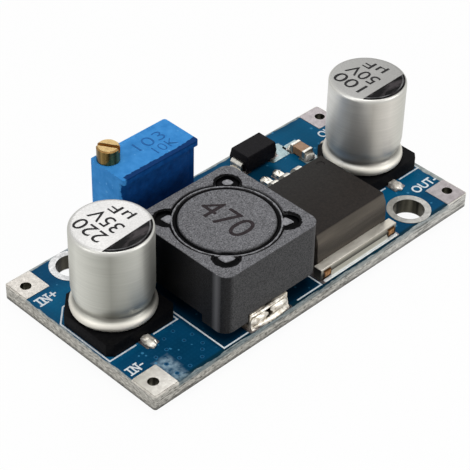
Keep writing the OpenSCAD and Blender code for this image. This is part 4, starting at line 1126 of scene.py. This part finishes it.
def slab_lettering(name, words, height, stroke, at):
    """Printed letters with slabs, each drawn with straight strokes, starting from a lower left place."""
    x, y = at
    strokes = []
    for letter in words:
        step, lines = SLAB_LETTERS[letter]
        for start, end in lines:
            start, end = Vector(start) * height, Vector(end) * height
            along, mid = end - start, (start + end) / 2 + Vector((x, y))
            put_down()
            height_up = BOARD_TOP + STROKE_STEP * len(strokes)
            bpy.ops.mesh.primitive_plane_add(size=MM, location=(mid.x * MM, mid.y * MM, height_up * MM))
            line = fresh(name)
            line.scale = (along.length + stroke, stroke, 1)
            line.rotation_euler = (0, 0, math.atan2(along.y, along.x))
            strokes.append(settle(line))
        x += step * height
    letters = join(name, strokes)
    add_modifier(letters, "SOLIDIFY", thickness=INK_T * MM, offset=1)
    return dress(letters, FINISH["white_ink"])


slab_lettering("label_in_plus", "IN+", 1.0, 0.18, (-20.98, 5.72))
slab_lettering("label_in_minus", "IN-", 0.92, 0.16, (-21.05, -6.95))

LABELS = {
    "label_out_minus": ("OUT-", (19.35, -6.55), (3.3, 1.1)),
    "label_out_plus": ("OUT+", (19.35, 6.55), (3.3, 1.1)),
}
for name, (words, (x, y), (width, height)) in LABELS.items():
    letters = lettering(name, words, width, height, INK_T, (x, y, BOARD_TOP), 0, 0.02)
    dress(letters, FINISH["white_ink"])


# Printing on the parts

PRINT_T, CAN_PRINT_T = 0.02, 0.012
CAN_ROWS = {"input": (IN_CAN, ("220", "35V", "µF")), "output": (OUT_CAN, ("100", "50V", "µF"))}
ROW_START, ROW_PITCH, ROW_MID, ROW_H = 1.9, 1.95, 0.75, 1.55
ROW_WIDTHS = (3.6, 3.6, 2.4)
for label, (can, rows) in CAN_ROWS.items():
    for row, (words, width) in enumerate(zip(rows, ROW_WIDTHS)):
        at = (can.x - ROW_START + ROW_PITCH * row, can.y + ROW_MID, CAN_TOP)
        letters = lettering(f"{label}_can_print_{row + 1}", words, width, ROW_H, CAN_PRINT_T, at, 90, 0.003)
        dress(letters, FINISH["can_ink"])

at = (COIL.x + 0.1, COIL.y + 0.2, COIL_TOP)
letters = lettering("coil_print", "470", 5.8, 2.8, PRINT_T, at, -90, -0.002)
dress(letters, FINISH["coil_ink"])

for name, words, size, at in (("trimmer_print_1", "103", (3.4, 1.35), (-5.2, 7.95)),
                              ("trimmer_print_2", "10K", (2.6, 1.1), (-4.6, 6.4))):
    letters = lettering(name, words, *size, PRINT_T, (*at, TRIM_HIGH.z), 0, -0.015)
    dress(letters, FINISH["trimmer_ink"])


# Floor, light and camera

def seen_straight(tree):
    """1 for what the eye sees straight, in a reflection or through glass, and 0 for light that fills in."""
    seen = node(tree, "LightPath")
    straight = calc(tree, "MAXIMUM", seen.outputs["Is Camera Ray"], seen.outputs["Is Glossy Ray"])
    return calc(tree, "MAXIMUM", straight, seen.outputs["Is Transmission Ray"])


FLOOR_GAP = 0.1


def make_floor():
    """A plain pale sheet under the part, white to the camera and still shaded by the part."""
    put_down()
    bpy.ops.mesh.primitive_plane_add(size=2, location=(0, 0, CAD_BOX[0].z - FLOOR_GAP * MM))
    floor = fresh("floor")
    material, tree, shader, place = new_material("floor_paper", roughness=0.9)
    paper = grain(tree, place, 40.0, 2.0)
    coloured(tree, shader, blend(tree, paper, "#e9e9e9", "#efefef"))
    glow = node(tree, "Emission", {"Color": (1, 1, 1, 1), "Strength": 1.0})
    share = times(tree, seen_straight(tree), 0.95)
    both = node(tree, "MixShader", {0: share, 1: shader.outputs[0], 2: glow.outputs[0]})
    tree.links.new(both.outputs[0], tree.nodes["Material Output"].inputs["Surface"])
    floor.data.materials.append(material)


def make_world(ambient):
    """A white surround: white to the eye and in reflections, and a soft fill for everything else."""
    world = bpy.data.worlds.new("studio")
    bpy.context.scene.world = world
    world.use_nodes = True
    tree = world.node_tree
    back = tree.nodes["Background"]
    back.inputs["Color"].default_value = (1, 1, 1, 1)
    tree.links.new(between(tree, seen_straight(tree), 0, 1, ambient, 1.0), back.inputs["Strength"])


def softbox(name, at, size, power):
    """A square lamp at a place in millimetres, aimed at the middle of the board."""
    lamp = bpy.data.lights.new(name, "AREA")
    lamp.shape = "SQUARE"
    lamp.size = size * MM
    lamp.energy = power
    holder = bpy.data.objects.new(name, lamp)
    bpy.context.scene.collection.objects.link(holder)
    holder.location = Vector(at) * MM
    holder.rotation_euler = Vector(at).to_track_quat("Z", "Y").to_euler()


def make_camera(azimuth, elevation, roll, eye, focal_px, image_px):
    """A camera that looks from an eye point in millimetres, with its focal length in image pixels."""
    camera = bpy.data.cameras.new("camera")
    camera.sensor_width = 36
    camera.lens = focal_px / image_px * camera.sensor_width
    camera.clip_start = 0.005
    holder = bpy.data.objects.new("camera", camera)
    bpy.context.scene.collection.objects.link(holder)
    turn = (Matrix.Rotation(math.radians(azimuth), 4, "Z")
            @ Matrix.Rotation(math.radians(90 - elevation), 4, "X")
            @ Matrix.Rotation(math.radians(roll), 4, "Z"))
    holder.matrix_world = Matrix.Translation(Vector(eye) * MM) @ turn
    bpy.context.scene.camera = holder


# Each lamp's place and width in millimetres, and its power in watts
LAMPS = {
    "back_softbox": ((195, 250, 300), 190, 0.28),
    "top_softbox": ((-40, -60, 380), 240, 0.7),
    "front_fill": ((140, -290, 120), 180, 0.36),
    "left_fill": ((-300, 40, 120), 180, 0.27),
}
make_floor()
make_world(ambient=0.26)
for label, lamp in LAMPS.items():
    softbox(label, *lamp)
make_camera(azimuth=-45.527, elevation=39.191, roll=1.475, eye=(-94.782, -91.775, 109.392),
            focal_px=1738.97, image_px=470)
bpy.context.scene.view_settings.view_transform = "Standard"
